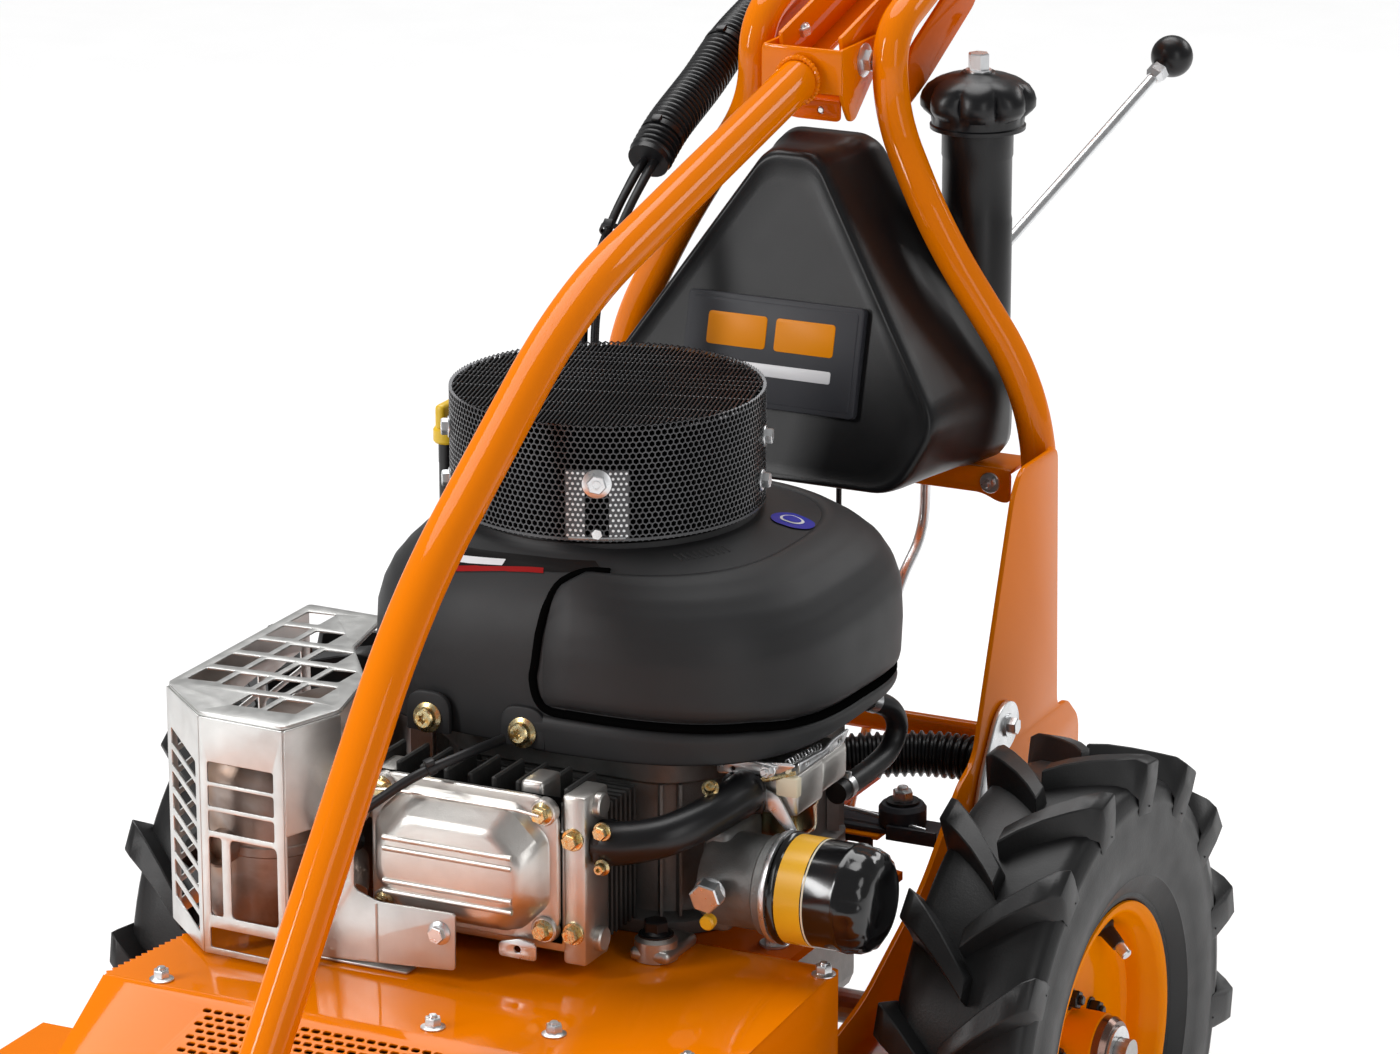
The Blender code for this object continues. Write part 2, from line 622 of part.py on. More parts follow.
def make_exhaust():
    ring = []
    for i in range(28):
        t = math.tau * i / 28
        c, s = math.cos(t), math.sin(t)
        x = -0.158 + 0.050 * math.copysign(abs(c) ** 0.7, c)
        ring.append((x, -0.248 + 0.098 * math.copysign(abs(s) ** 0.7, s)))
    lower, upper = COVER_TOP + 0.012, 0.460
    muffler = add("muffler", plate(ring, upper - lower, "Z", (0, 0, (lower + upper) / 2)), EXHAUST)
    soften(muffler, 0.008)
    plan = [(-0.2215, -0.134), (-0.2215, -0.325), (-0.170, -0.370), (-0.104, -0.373), (-0.088, -0.325)]
    inner = [(-0.104, -0.262), (-0.146, -0.205), (-0.160, -0.136)]
    top, foot, hood = 0.503, COVER_TOP + 0.002, 0.425
    bm = bmesh.new()
    up = [bm.verts.new((x, y, top)) for x, y in plan + inner]
    low = [bm.verts.new((x, y, foot)) for x, y in plan[:4]]
    mid = [bm.verts.new((x, y, hood)) for x, y in plan[3:]]
    bm.faces.new(up)
    bm.faces.new((up[0], low[0], low[1], up[1]))
    bm.faces.new((up[1], low[1], low[2], up[2]))
    bm.faces.new((up[2], low[2], low[3], mid[0], up[3]))
    bm.faces.new((up[3], mid[0], mid[1], up[4]))
    guard = add("muffler_guard", mesh_of(bm), ZINC)
    shell(guard, 0.0015)


# ---- tank ---------------------------------------------------------------------------------------------
def make_tank():
    """Wedge-shaped tank between the rear tubes, with its filler neck behind the left one."""
    front = [(-0.0205, 0.783), (0.0205, 0.783), (0.136, 0.604), (0.110, 0.552), (-0.110, 0.552),
             (-0.136, 0.604)]
    back = [(-0.036, 0.786), (0.036, 0.786), (0.150, 0.606), (0.150, 0.552), (-0.150, 0.552),
            (-0.150, 0.606)]
    front_ring = [(x, 0.128 + 0.26 * (z - 0.552), z) for x, z in front]
    back_ring = [(x, 0.268, z) for x, z in back]
    tank = add("fuel_tank", loft([front_ring, back_ring]), BLACK_PLASTIC)
    soften(tank, 0.012, 2)
    neck = rod(NECK_RADIUS, (*NECK_AT, 0.575), (*NECK_AT, NECK_TOP), 28)
    bridge = box((0.085, 0.240, 0.580), (0.125, 0.285, 0.618))
    join(tank, bridge, neck)
    cap = [
        (0.0, 0.846), (0.0085, 0.846), (0.0085, 0.832), (0.028, 0.829), (CAP_RADIUS + 0.002, 0.815),
        (CAP_RADIUS + 0.002, 0.804), (0.034, NECK_TOP + GAP), (0.0, NECK_TOP + GAP),
    ]  # fmt: skip
    add("fuel_cap", turned(cap, "Z", (*NECK_AT, 0), 28), BLACK_PLASTIC, (*NECK_AT, NECK_TOP))


# ---- handlebar and controls ---------------------------------------------------------------------------
def make_handlebar():
    lean = math.radians(14)
    length = 0.400
    half, wall, tall = 0.0255, 0.004, 0.036
    u = [(-half, 0.0), (half, 0.0), (half, tall), (half - wall, tall), (half - wall, wall),
         (-half + wall, wall),
         (-half + wall, tall), (-half, tall)]  # fmt: skip
    column = plate(u, length, "Y", (0, 0, 0))
    column.transform(Matrix.Translation((0, length / 2 - 0.022, -tall / 2)))
    column.transform(Matrix.Translation(HANDLE_PIVOT) @ Matrix.Rotation(lean, 4, "X"))
    add("handlebar_column", column, ORANGE, HANDLE_PIVOT)

    end = Vector(HANDLE_PIVOT) + Matrix.Rotation(lean, 3, "X") @ Vector((0, length - 0.022, 0))
    cross = (end.y + 0.0135, end.z)
    bend = Vector((HANDLE_HALF, 0.690, 1.000))
    tip = Vector((HANDLE_HALF, GRIP_END_Y - 0.004, 1.040))
    half_route = [(0.0, *cross), (0.150, *cross),
                  (0.262, cross[0] + 0.030, cross[1] + 0.020), tuple(bend), tuple(tip)]
    other = [(-x, y, z) for x, y, z in half_route[:0:-1]]
    add("handlebar_tube", pipe(rounded(other + half_route, 0.06, 4), HANDLE_RADIUS), ORANGE, HANDLE_PIVOT)
    grip_line = (tip - bend).normalized()
    ring = [(0.0, 0.0), (GRIP_RADIUS, 0.0), (GRIP_RADIUS, -0.105), (HANDLE_RADIUS + 2 * GAP, -0.105),
            (HANDLE_RADIUS + 2 * GAP, -0.0037), (0.0, -0.0037)]  # fmt: skip
    for name, sign in (("left", 1), ("right", -1)):
        grip = turned(ring, "Z", (0, 0, 0), 20)
        end = Vector((sign * tip.x, tip.y, tip.z)) + grip_line * 0.004
        grip.transform(Matrix.Translation(end) @ grip_line.to_track_quat("Z", "Y").to_matrix().to_4x4())
        add("grip_" + name, grip, RUBBER, HANDLE_PIVOT)
    for name, sign in (("drive_lever", 1), ("blade_lever", -1)):
        pivot = (sign * HANDLE_HALF, 0.735, 0.980)
        route = rounded([pivot, (pivot[0], 0.775, 0.974), (pivot[0], 0.850, 0.988)], 0.03, 3)
        add(name, pipe(route, 0.0055), BLACK_PLASTIC, pivot)


def make_controls():
    pivot = (0.055, 0.160, 0.2585)
    rod_route = rounded(
        [pivot, (0.060, 0.252, 0.4465), (0.060, 0.299, 0.4725), (0.060, 0.302, 0.560),
        (0.056, 0.3756, 0.640), (0.127, 0.590, 0.776)], 0.03, 4
    )
    add("shift_lever", pipe(rod_route, 0.0042), ZINC, pivot)
    bm = bmesh.new()
    tip = Vector(rod_route[-1]) + (Vector(rod_route[-1]) - Vector(rod_route[-2])).normalized() * 0.0170
    bmesh.ops.create_uvsphere(bm, u_segments=20, v_segments=12, radius=0.0165, matrix=Matrix.Translation(tip))
    add("shift_knob", mesh_of(bm), BLACK_PAINT, pivot)

    conduit = smooth_route([(-0.100, 0.1575, 0.7716), (-0.100, 0.1913, 0.7909),
                            (-0.100, 0.2462, 0.8120), (-0.100, 0.2919, 0.8325),
                            (-0.100, 0.3454, 0.8480), (-0.100, 0.3983, 0.8610)], 3)  # fmt: skip
    add("control_conduit", pipe(conduit, 0.0170), BLACK_PLASTIC)
    cables = smooth_route([(-0.100, 0.1557, 0.7706), (-0.100, 0.1400, 0.7615),
                           (-0.100, 0.1117, 0.7418), (-0.100, 0.0844, 0.7147),
                           (-0.100, 0.0656, 0.6826), (-0.100, 0.0620, 0.6400),
                           (-0.100, 0.0700, 0.5600), (-0.100, 0.0800, 0.4700)], 3)
    add("control_cables", pipe(cables, 0.0100), RUBBER)
    rear = smooth_route([(0.060, 0.085, 0.360), (0.095, 0.105, 0.362), (0.135, 0.124, 0.364),
                         (0.165, 0.130, 0.364), (0.184, 0.130, 0.364)], 3)
    add("rear_conduit", pipe(rear, 0.0170), BLACK_PLASTIC)

    lever = [(0.118, 0.405), (0.135, 0.411), (0.152, 0.404), (0.158, 0.388), (0.148, 0.376), (0.118, 0.366),
             (0.098, 0.338), (0.086, 0.326), (0.078, 0.334), (0.092, 0.368)]  # fmt: skip
    pivot_x = SIDE_X + SIDE_THICK + 0.003
    add("lock_lever", plate(lever, 0.004, "X", (pivot_x, 0, 0)), ZINC, (pivot_x, 0.135, 0.392))


make_deck()
make_belt_cover()
make_frame()
make_strut()
make_wheels()
make_castor()
make_drive()
make_engine()
make_exhaust()
make_tank()
make_handlebar()
make_controls()
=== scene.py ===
"""Looks of a walk-behind brush mower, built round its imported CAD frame.

Metres, +Z up, machine front towards -Y, machine left towards +X. Pieces are modelled in the axle frame, whose
Y = 0 is the rear axle; each object's location carries that frame into the part's own.
"""

import math

import bmesh
import bpy
from mathutils import Matrix, Vector


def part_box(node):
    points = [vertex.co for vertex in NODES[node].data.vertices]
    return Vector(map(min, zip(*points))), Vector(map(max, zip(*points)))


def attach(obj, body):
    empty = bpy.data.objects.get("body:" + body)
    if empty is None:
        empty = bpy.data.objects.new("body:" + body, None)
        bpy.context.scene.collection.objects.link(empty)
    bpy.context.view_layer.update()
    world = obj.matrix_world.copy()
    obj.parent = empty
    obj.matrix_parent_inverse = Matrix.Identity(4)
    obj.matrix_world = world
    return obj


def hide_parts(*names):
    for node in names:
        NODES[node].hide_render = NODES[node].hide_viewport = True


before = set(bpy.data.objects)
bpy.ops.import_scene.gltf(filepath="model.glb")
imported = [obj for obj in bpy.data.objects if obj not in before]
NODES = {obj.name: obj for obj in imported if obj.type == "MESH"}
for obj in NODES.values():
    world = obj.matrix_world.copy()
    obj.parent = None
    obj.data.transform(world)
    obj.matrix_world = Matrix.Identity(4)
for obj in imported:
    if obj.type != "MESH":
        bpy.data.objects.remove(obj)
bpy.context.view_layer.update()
AXLE_Y = sum(corner.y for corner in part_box("axle_left")) / 2
HOME = Vector((0.0, AXLE_Y, 0.0))

# places and sizes that more than one part uses, in metres
FILLER_AT = (0.1025, 0.29, 0)
BOWL_AT = (0.155, -0.15, 0)
DIPSTICK_AT = (-0.166, -0.03, 0)
COVER_CORNERS = ((-0.064, 0.366), (0.056, 0.366), (-0.064, 0.448), (0.056, 0.448))
WELD_RIPPLE = 0.003
LAMP_TARGET = Vector((0.0, 0.0, 0.45))


# ---- materials ----------------------------------------------------------------------------------------
def shader(
    name, colour, roughness, metallic=0.0, coat=0.0, vary=0.08, vary_scale=9.0, rough_vary=0.08, grain=900.0,
    bump=0.08, depth=0.0004, second=None, specular=0.5):
    """A Principled material with cloudy colour, uneven roughness and a fine surface grain."""
    made = bpy.data.materials.new(name)
    made.use_nodes = True
    nodes, links = made.node_tree.nodes, made.node_tree.links
    surface = nodes["Principled BSDF"]
    surface.inputs["Metallic"].default_value = metallic
    surface.inputs["Specular IOR Level"].default_value = specular
    surface.inputs["Coat Weight"].default_value = coat
    surface.inputs["Coat Roughness"].default_value = 0.06
    place = nodes.new("ShaderNodeTexCoord")

    def cloud(scale, detail, distort=0.0):
        texture = nodes.new("ShaderNodeTexNoise")
        texture.inputs["Scale"].default_value = scale
        texture.inputs["Detail"].default_value = detail
        texture.inputs["Distortion"].default_value = distort
        links.new(place.outputs["Object"], texture.inputs["Vector"])
        return texture.outputs["Fac"]

    ramp = nodes.new("ShaderNodeValToRGB")
    ramp.color_ramp.elements[0].position = 0.3
    ramp.color_ramp.elements[1].position = 0.7
    ramp.color_ramp.elements[0].color = (*[c * (1 - vary) for c in colour], 1.0)
    ramp.color_ramp.elements[1].color = (*[min(1.0, c * (1 + vary)) for c in colour], 1.0)
    if second:
        middle = ramp.color_ramp.elements.new(0.5)
        middle.color = (*second, 1.0)
    links.new(cloud(vary_scale, 6.0, 0.3), ramp.inputs["Fac"])
    links.new(ramp.outputs["Color"], surface.inputs["Base Color"])
    spread = nodes.new("ShaderNodeMapRange")
    spread.inputs["To Min"].default_value = max(0.02, roughness - rough_vary)
    spread.inputs["To Max"].default_value = roughness + rough_vary
    links.new(cloud(vary_scale * 3.1, 8.0), spread.inputs["Value"])
    links.new(spread.outputs["Result"], surface.inputs["Roughness"])
    relief = nodes.new("ShaderNodeBump")
    relief.inputs["Strength"].default_value = bump
    relief.inputs["Distance"].default_value = depth
    links.new(cloud(grain, 3.0), relief.inputs["Height"])
    links.new(relief.outputs["Normal"], surface.inputs["Normal"])
    return made


ORANGE = shader(
    "orange_powder_coat", (0.8, 0.19, 0.0), 0.34, coat=0.45, specular=0.0, vary=0.03, vary_scale=6,
    rough_vary=0.05, grain=620, bump=0.05, depth=0.0005)
# a darker copy of the orange paint: painted shade on faces in shadow, inside the handlebar channel, under the
# tank, on the height quadrants and on the engine plate
ORANGE_SHADE = shader(
    "orange_painted_shade", (0.62, 0.1, 0.0), 0.34, coat=0.22, specular=0.0, vary=0.05, grain=620, bump=0.06)
ORANGE_RIM = shader(
    "orange_wheel_paint", (0.84, 0.235, 0.0), 0.45, coat=0.12, specular=0.0, vary=0.03, grain=700, bump=0.06)
ZINC = shader(
    "bright_zinc", (0.7, 0.71, 0.72), 0.3, metallic=0.9, vary=0.1, vary_scale=60, rough_vary=0.1, grain=1500,
    bump=0.06)
GALVANISED = shader(
    "galvanised_sheet", (0.6, 0.6, 0.585), 0.36, metallic=0.85, vary=0.1, vary_scale=34, rough_vary=0.12,
    grain=900, bump=0.1)
ALUMINIUM = shader(
    "die_cast_aluminium", (0.62, 0.6, 0.57), 0.34, metallic=0.92, vary=0.07, vary_scale=40, grain=1100,
    bump=0.22, depth=0.0005)
CAST_GREY = shader(
    "sand_cast_grey", (0.2, 0.2, 0.195), 0.5, metallic=0.6, vary=0.14, vary_scale=50, grain=750, bump=0.35,
    depth=0.0007)
DARK_CAST = shader(
    "shaded_casting", (0.045, 0.045, 0.044), 0.55, metallic=0.4, vary=0.2, vary_scale=50, grain=750,
    bump=0.35, depth=0.0007)
STEEL = shader(
    "machined_steel", (0.42, 0.41, 0.4), 0.34, metallic=1.0, vary=0.1, vary_scale=70, grain=1500, bump=0.08)
BRASS = shader(
    "yellow_passivated_steel", (0.74, 0.4, 0.1), 0.28, metallic=1.0, vary=0.16, vary_scale=240,
    second=(0.62, 0.56, 0.34), grain=1500, bump=0.06)
COPPER = shader(
    "iridescent_bowl", (0.8, 0.33, 0.12), 0.2, metallic=1.0, vary=0.25, vary_scale=46,
    second=(0.62, 0.6, 0.36), grain=1300, bump=0.05)
EXHAUST = shader(
    "heat_tinted_steel", (0.3, 0.19, 0.13), 0.42, metallic=0.85, vary=0.35, vary_scale=22,
    second=(0.36, 0.3, 0.27), grain=800, bump=0.12)
HUB = shader(
    "bronzed_hub", (0.17, 0.105, 0.085), 0.22, metallic=0.8, vary=0.2, vary_scale=50, grain=900, bump=0.08)
HOUSING = shader(
    "charcoal_moulding", (0.021, 0.021, 0.022), 0.5, specular=0.28, vary=0.06, vary_scale=12, rough_vary=0.05,
    grain=1700, bump=0.16, depth=0.0004)
TANK = shader(
    "satin_blow_moulding", (0.007, 0.007, 0.0078), 0.34, specular=0.32, vary=0.1, vary_scale=14,
    rough_vary=0.07, grain=850, bump=0.1, depth=0.0004)
BADGE = shader("grey_badge", (0.03, 0.031, 0.037), 0.5, specular=0.35, vary=0.06, grain=1400, bump=0.1)
BLACK = shader(
    "black_moulding", (0.006, 0.006, 0.007), 0.34, specular=0.38, vary=0.1, vary_scale=30, grain=1200,
    bump=0.1)
GLOSS_BLACK = shader(
    "gloss_black_paint", (0.0035, 0.0035, 0.004), 0.16, coat=0.25, vary=0.05, rough_vary=0.03, grain=500,
    bump=0.03)
MESH_BLACK = shader(
    "coated_wire_mesh", (0.075, 0.075, 0.078), 0.27, metallic=0.75, vary=0.08, vary_scale=60, grain=1500,
    bump=0.05)
DARK = shader("unlit_inside", (0.002, 0.002, 0.002), 0.8, specular=0.0, vary=0.05, grain=900, bump=0.05)
RUBBER = shader(
    "hose_rubber", (0.008, 0.008, 0.009), 0.42, specular=0.38, vary=0.12, vary_scale=40, grain=1300, bump=0.14
)
TYRE = shader(
    "tyre_rubber", (0.01, 0.01, 0.0104), 0.42, specular=0.32, vary=0.2, vary_scale=16, rough_vary=0.1,
    grain=620, bump=0.18, depth=0.0006)
YELLOW = shader("yellow_moulding", (0.78, 0.5, 0.02), 0.38, vary=0.05, grain=1300, bump=0.08)
LABEL = shader("yellow_label_film", (0.8, 0.42, 0.015), 0.3, vary=0.05, vary_scale=20, grain=1500, bump=0.03)
CREAM = shader("cream_moulding", (0.72, 0.66, 0.5), 0.4, vary=0.06, grain=1300, bump=0.08)
DECAL = shader("decal_film", (0.004, 0.003, 0.003), 0.35, specular=0.2, vary=0.1, grain=1500, bump=0.02)
DECAL_RED = shader("decal_stripe", (0.28, 0.004, 0.004), 0.4, specular=0.15, vary=0.1, grain=1500, bump=0.02)
BLUE = shader("blue_sticker", (0.035, 0.045, 0.36), 0.25, vary=0.05, grain=1500, bump=0.02)
WHITE = shader("white_print", (0.7, 0.7, 0.72), 0.35, vary=0.04, grain=1500, bump=0.02)
PRINT_ORANGE = shader("orange_print", (0.8, 0.26, 0.0), 0.4, specular=0.2, vary=0.03, grain=1500, bump=0.02)
RED = shader("red_moulding", (0.45, 0.03, 0.02), 0.4, vary=0.06, grain=1300, bump=0.08)


# ---- mesh tools ---------------------------------------------------------------------------------------
def frame_at(origin, along, side=(0.0, 0.0, 1.0)):
    """A placement whose Z runs along one direction and whose X is as near to side as it can be."""
    z = Vector(along).normalized()
    x = Vector(side) - z * z.dot(Vector(side))
    if x.length < 1e-6:
        x = z.orthogonal()
    x.normalize()
    return Matrix.Translation(origin) @ Matrix((x, z.cross(x), z)).transposed().to_4x4()


def facing_front(y):
    """The upright plane across the machine: outline x stays X, outline y becomes Z."""
    return Matrix.Translation((0, y, 0)) @ Matrix(((1, 0, 0, 0), (0, 0, -1, 0), (0, 1, 0, 0), (0, 0, 0, 1)))


def facing_left(x, y=0, z=0):
    """The upright plane along the machine: outline x becomes Y, outline y becomes Z."""
    return Matrix.Translation((x, y, z)) @ Matrix(((0, 0, 1, 0), (1, 0, 0, 0), (0, 1, 0, 0), (0, 0, 0, 1)))


def moved(shape, place):
    points, faces = shape
    return [place @ Vector(p) for p in points], faces


def merged(*shapes):
    points, faces = [], []
    for more, made in shapes:
        start = len(points)
        points += [Vector(p) for p in more]
        faces += [[i + start for i in face] for face in made]
    return points, faces


def skin(rings, around=True, start=True, end=True):
    """A surface through rings of equal count."""
    count = len(rings[0])
    points = [Vector(p) for ring in rings for p in ring]
    faces = []
    for level in range(len(rings) - 1):
        for i in range(count if around else count - 1):
            j = (i + 1) % count
            faces.append(
                [level * count + i, level * count + j, (level + 1) * count + j, (level + 1) * count + i])
    if start:
        faces.append(list(range(count))[::-1])
    if end:
        faces.append([(len(rings) - 1) * count + i for i in range(count)])
    return points, faces


def circle(radius, sides, turn=0.0):
    return [
        (radius * math.cos(math.tau * i / sides + turn), radius * math.sin(math.tau * i / sides + turn))
        for i in range(sides)]


def spin(profile, place=None, steps=48, closed=False):
    """(radius, height) points turned about Z."""
    rings = [[(x, y, height) for x, y in circle(max(radius, 1e-6), steps)] for radius, height in profile]
    if closed:
        rings.append(rings[0])
    shape = skin(rings, start=False, end=False)
    return moved(shape, place) if place else shape


def fillet(points, radius, steps=8):
    """Straight runs whose corners are arcs starting at most radius before them."""
    points = [Vector(p) for p in points]
    route = [points[0]]
    for before, corner, after in zip(points, points[1:], points[2:]):
        reach = min(radius, (before - corner).length * 0.48, (after - corner).length * 0.48)
        start = corner + (before - corner).normalized() * reach
        end = corner + (after - corner).normalized() * reach
        for i in range(steps + 1):
            t = i / steps
            route.append((1 - t) ** 2 * start + 2 * t * (1 - t) * corner + t**2 * end)
    route.append(points[-1])
    return route


def flowing(points, each=8):
    """A Catmull-Rom curve through points."""
    points = [Vector(p) for p in points]
    padded = [2 * points[0] - points[1], *points, 2 * points[-1] - points[-2]]
    route = []
    for a, b, c, d in zip(padded, padded[1:], padded[2:], padded[3:]):
        for i in range(each):
            t = i / each
            cubic = (2 * a - 5 * b + 4 * c - d) * t**2 + (3 * b - a - 3 * c + d) * t**3
            route.append(0.5 * (2 * b + (c - a) * t + cubic))
    route.append(points[-1])
    return route


def resampled(route, spacing):
    """The same line with points at an even spacing."""
    lengths = [0.0]
    for a, b in zip(route, route[1:]):
        lengths.append(lengths[-1] + (b - a).length)
    count = max(2, round(lengths[-1] / spacing))
    made, k = [], 0
    for i in range(count + 1):
        target = lengths[-1] * i / count
        while k < len(lengths) - 2 and lengths[k + 1] < target:
            k += 1
        share = (target - lengths[k]) / max(lengths[k + 1] - lengths[k], 1e-9)
        made.append(route[k].lerp(route[k + 1], min(max(share, 0.0), 1.0)))
    return made


def sweep(route, radius, sides=20, ends=True, section=None):
    """A tube along a route. radius is one number or one for each point; section replaces the circle."""
    route = [Vector(p) for p in route]
    radii = radius if isinstance(radius, (list, tuple)) else [radius] * len(route)
    tangents = []
    for i in range(len(route)):
        tangents.append((route[min(i + 1, len(route) - 1)] - route[max(i - 1, 0)]).normalized())
    across = tangents[0].orthogonal().normalized() if section is None else None
    if section is not None:
        up = Vector((0, 0, 1)) if abs(tangents[0].z) < 0.9 else Vector((0, -1, 0))
        across = tangents[0].cross(up).normalized()
    rings = []
    for point, tangent, size in zip(route, tangents, radii):
        across = (across - tangent * tangent.dot(across)).normalized()
        other = tangent.cross(across)
        outline = section or circle(1.0, sides)
        rings.append([point + (across * x + other * y) * size for x, y in outline])
    return skin(rings, start=ends, end=ends)


def softened(shape, width, segments=2, angle=28.0):
    """The shape with its sharp edges bevelled."""
    bm = as_bmesh(shape)
    edges = [e for e in bm.edges if len(e.link_faces) == 2 and e.calc_face_angle(0.0) > math.radians(angle)]
    bmesh.ops.bevel(
        bm, geom=edges, offset=width, segments=segments, profile=0.5, affect="EDGES", clamp_overlap=True)
    return from_bmesh(bm)


def as_bmesh(shape):
    bm = bmesh.new()
    verts = [bm.verts.new(p) for p in shape[0]]
    for face in shape[1]:
        if len(set(face)) > 2:
            try:
                bm.faces.new([verts[i] for i in face])
            except ValueError:
                pass
    bmesh.ops.remove_doubles(bm, verts=bm.verts, dist=2e-6)
    bmesh.ops.dissolve_degenerate(bm, edges=bm.edges, dist=1e-7)
    bmesh.ops.recalc_face_normals(bm, faces=bm.faces)
    return bm


def from_bmesh(bm):
    bm.verts.index_update()
    shape = [v.co.copy() for v in bm.verts], [[v.index for v in f.verts] for f in bm.faces]
    bm.free()
    return shape


def block(low, high, edge=0.0, segments=2):
    corners = [
        (x, y, z) for z in (low[2], high[2]) for x,
        y in ((low[0], low[1]), (high[0], low[1]), (high[0], high[1]), (low[0], high[1]))]
    shape = corners, [[3, 2, 1, 0], [4, 5, 6, 7], [0, 1, 5, 4], [1, 2, 6, 5], [2, 3, 7, 6], [3, 0, 4, 7]]
    return softened(shape, edge, segments) if edge else shape


def prism(outline, low, high, place=None, edge=0.0, segments=2):
    shape = skin([[(x, y, low) for x, y in outline], [(x, y, high) for x, y in outline]])
    if edge:
        shape = softened(shape, edge, segments)
    return moved(shape, place) if place else shape


def arc_corners(outline, radius, steps=5):
    """A closed 2-D outline with rounded corners. radius is one number, or one for each corner."""
    made = []
    count = len(outline)
    for i in range(count):
        size = radius[i] if isinstance(radius, (list, tuple)) else radius
        before, corner, after = Vector(outline[i - 1]), Vector(outline[i]), Vector(outline[(i + 1) % count])
        reach = min(size, (before - corner).length * 0.48, (after - corner).length * 0.48)
        if reach < 1e-5:
            made.append(tuple(corner))
            continue
        start = corner + (before - corner).normalized() * reach
        end = corner + (after - corner).normalized() * reach
        for k in range(steps + 1):
            t = k / steps
            made.append(tuple((1 - t) ** 2 * start + 2 * t * (1 - t) * corner + t**2 * end))
    return made


def sheet_metal(outline, thickness, place=None, holes=(), edge=0.0004):
    """A flat plate with holes and slightly rounded edges, its lower face on the plane of place."""
    data = bpy.data.curves.new("outline", "CURVE")
    data.dimensions = "2D"
    data.fill_mode = "BOTH"
    data.extrude = thickness / 2 - edge
    data.bevel_depth = edge
    data.bevel_resolution = 1
    data.offset = -edge
    for ring in [outline, *holes]:
        spline = data.splines.new("POLY")
        spline.points.add(len(ring) - 1)
        spline.use_cyclic_u = True
        for point, (x, y) in zip(spline.points, ring):
            point.co = (x, y, 0.0, 1.0)
    helper = bpy.data.objects.new("outline", data)
    bpy.context.scene.collection.objects.link(helper)
    bpy.context.view_layer.update()
    mesh = bpy.data.meshes.new_from_object(helper.evaluated_get(bpy.context.evaluated_depsgraph_get()))
    lift = Vector((0, 0, thickness / 2))
    shape = [v.co + lift for v in mesh.vertices], [list(p.vertices) for p in mesh.polygons]
    bpy.data.objects.remove(helper)
    bpy.data.curves.remove(data)
    bpy.data.meshes.remove(mesh)
    return moved(shape, place) if place else shape


def disc_hole(x, y, radius, sides=16):
    return [(x + a, y + b) for a, b in circle(radius, sides)]


def hex_bolt(at, along, across=0.01, height=0.0055, washer=0.0, flange=0.0, tail=0.0, socket=False):
    """A chamfered hexagon head on a washer or flange. at is on the seat, along points outwards."""
    shapes = []
    z = 0.0
    if washer:
        shapes.append(
            spin(
                [(0, 0.0), (washer, 0.0), (washer, 0.0013), (washer - 0.0004, 0.0017), (0, 0.0017)], steps=28)
        )
        z = 0.0015
    if flange:
        shapes.append(spin(
            [(0, z), (flange, z), (flange, z + 0.0008), (across * 0.52, z + 0.0024), (0, z + 0.0024)],
        steps=28))
        z += 0.0012
    corner = across / math.sqrt(3)
    rings = []
    for radius, level in ((corner, z), (corner, z + height - 0.0009), (corner * 0.9, z + height)):
        rings.append([(x, y, level) for x, y in circle(radius, 6, 0.3)])
    shapes.append(skin(rings))
    if socket:
        shapes.append(spin(
            [
                (across * 0.27, z + height), (across * 0.27, z + height + 0.0006),
                (across * 0.2, z + height + 0.0006), (across * 0.16, z + height - 0.001),
                (0, z + height - 0.001)],
        steps=12))
    if tail:
        reach = z + height + tail
        shapes.append(spin(
        [(across * 0.3, z), (across * 0.3, reach - 0.0008), (across * 0.24, reach), (0, reach)], steps=16))
    return moved(merged(*shapes), frame_at(at, along))


def torx_bolt(at, along, size=0.0085):
    """A flanged head with a lobed recess."""
    lobes = []
    for i in range(24):
        turn = math.tau * i / 24
        lobes.append((
            size * (0.3 + 0.07 * math.cos(6 * turn)) * math.cos(turn),
        size * (0.3 + 0.07 * math.cos(6 * turn)) * math.sin(turn)))
    rings = [
        [(x, y, z) for x, y in outline] for outline,
        z in (
            (circle(size, 24), 0.0), (circle(size, 24), 0.0012), (circle(size * 0.72, 24), 0.0026),
            (circle(size * 0.66, 24), 0.0062), (circle(size * 0.56, 24), 0.0072), (lobes, 0.0072),
            (lobes, 0.0042))]
    return moved(skin(rings), frame_at(at, along))


def weld_bead(route, radius=0.0022):
    """A rippled bead along a route, with four points to each ripple."""
    line = resampled([Vector(p) for p in route], WELD_RIPPLE / 4)
    sizes = [radius * (0.86 + 0.14 * math.sin(i * math.tau / 4)) for i in range(len(line))]
    return sweep(line, sizes, 10)


def piece(name, shape, material, body="chassis", replaces=(), smooth=32.0):
    """Makes the object and ties it to its body. Edges sharper than smooth, in degrees, stay hard."""
    bm = as_bmesh(shape)
    mesh = bpy.data.meshes.new(name)
    bm.to_mesh(mesh)
    bm.free()
    mesh.shade_smooth()
    mesh.set_sharp_from_angle(angle=math.radians(smooth))
    mesh.materials.append(material)
    obj = bpy.data.objects.new(name, mesh)
    obj.location = HOME
    bpy.context.scene.collection.objects.link(obj)
    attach(obj, body)
    if replaces:
        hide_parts(*replaces)
    return obj


def dress(material, *names):
    """Gives CAD nodes that stay in view their finish."""
    for name in names:
        NODES[name].data.materials.clear()
        NODES[name].data.materials.append(material)
        NODES[name].data.shade_smooth()
        NODES[name].data.set_sharp_from_angle(angle=math.radians(32))


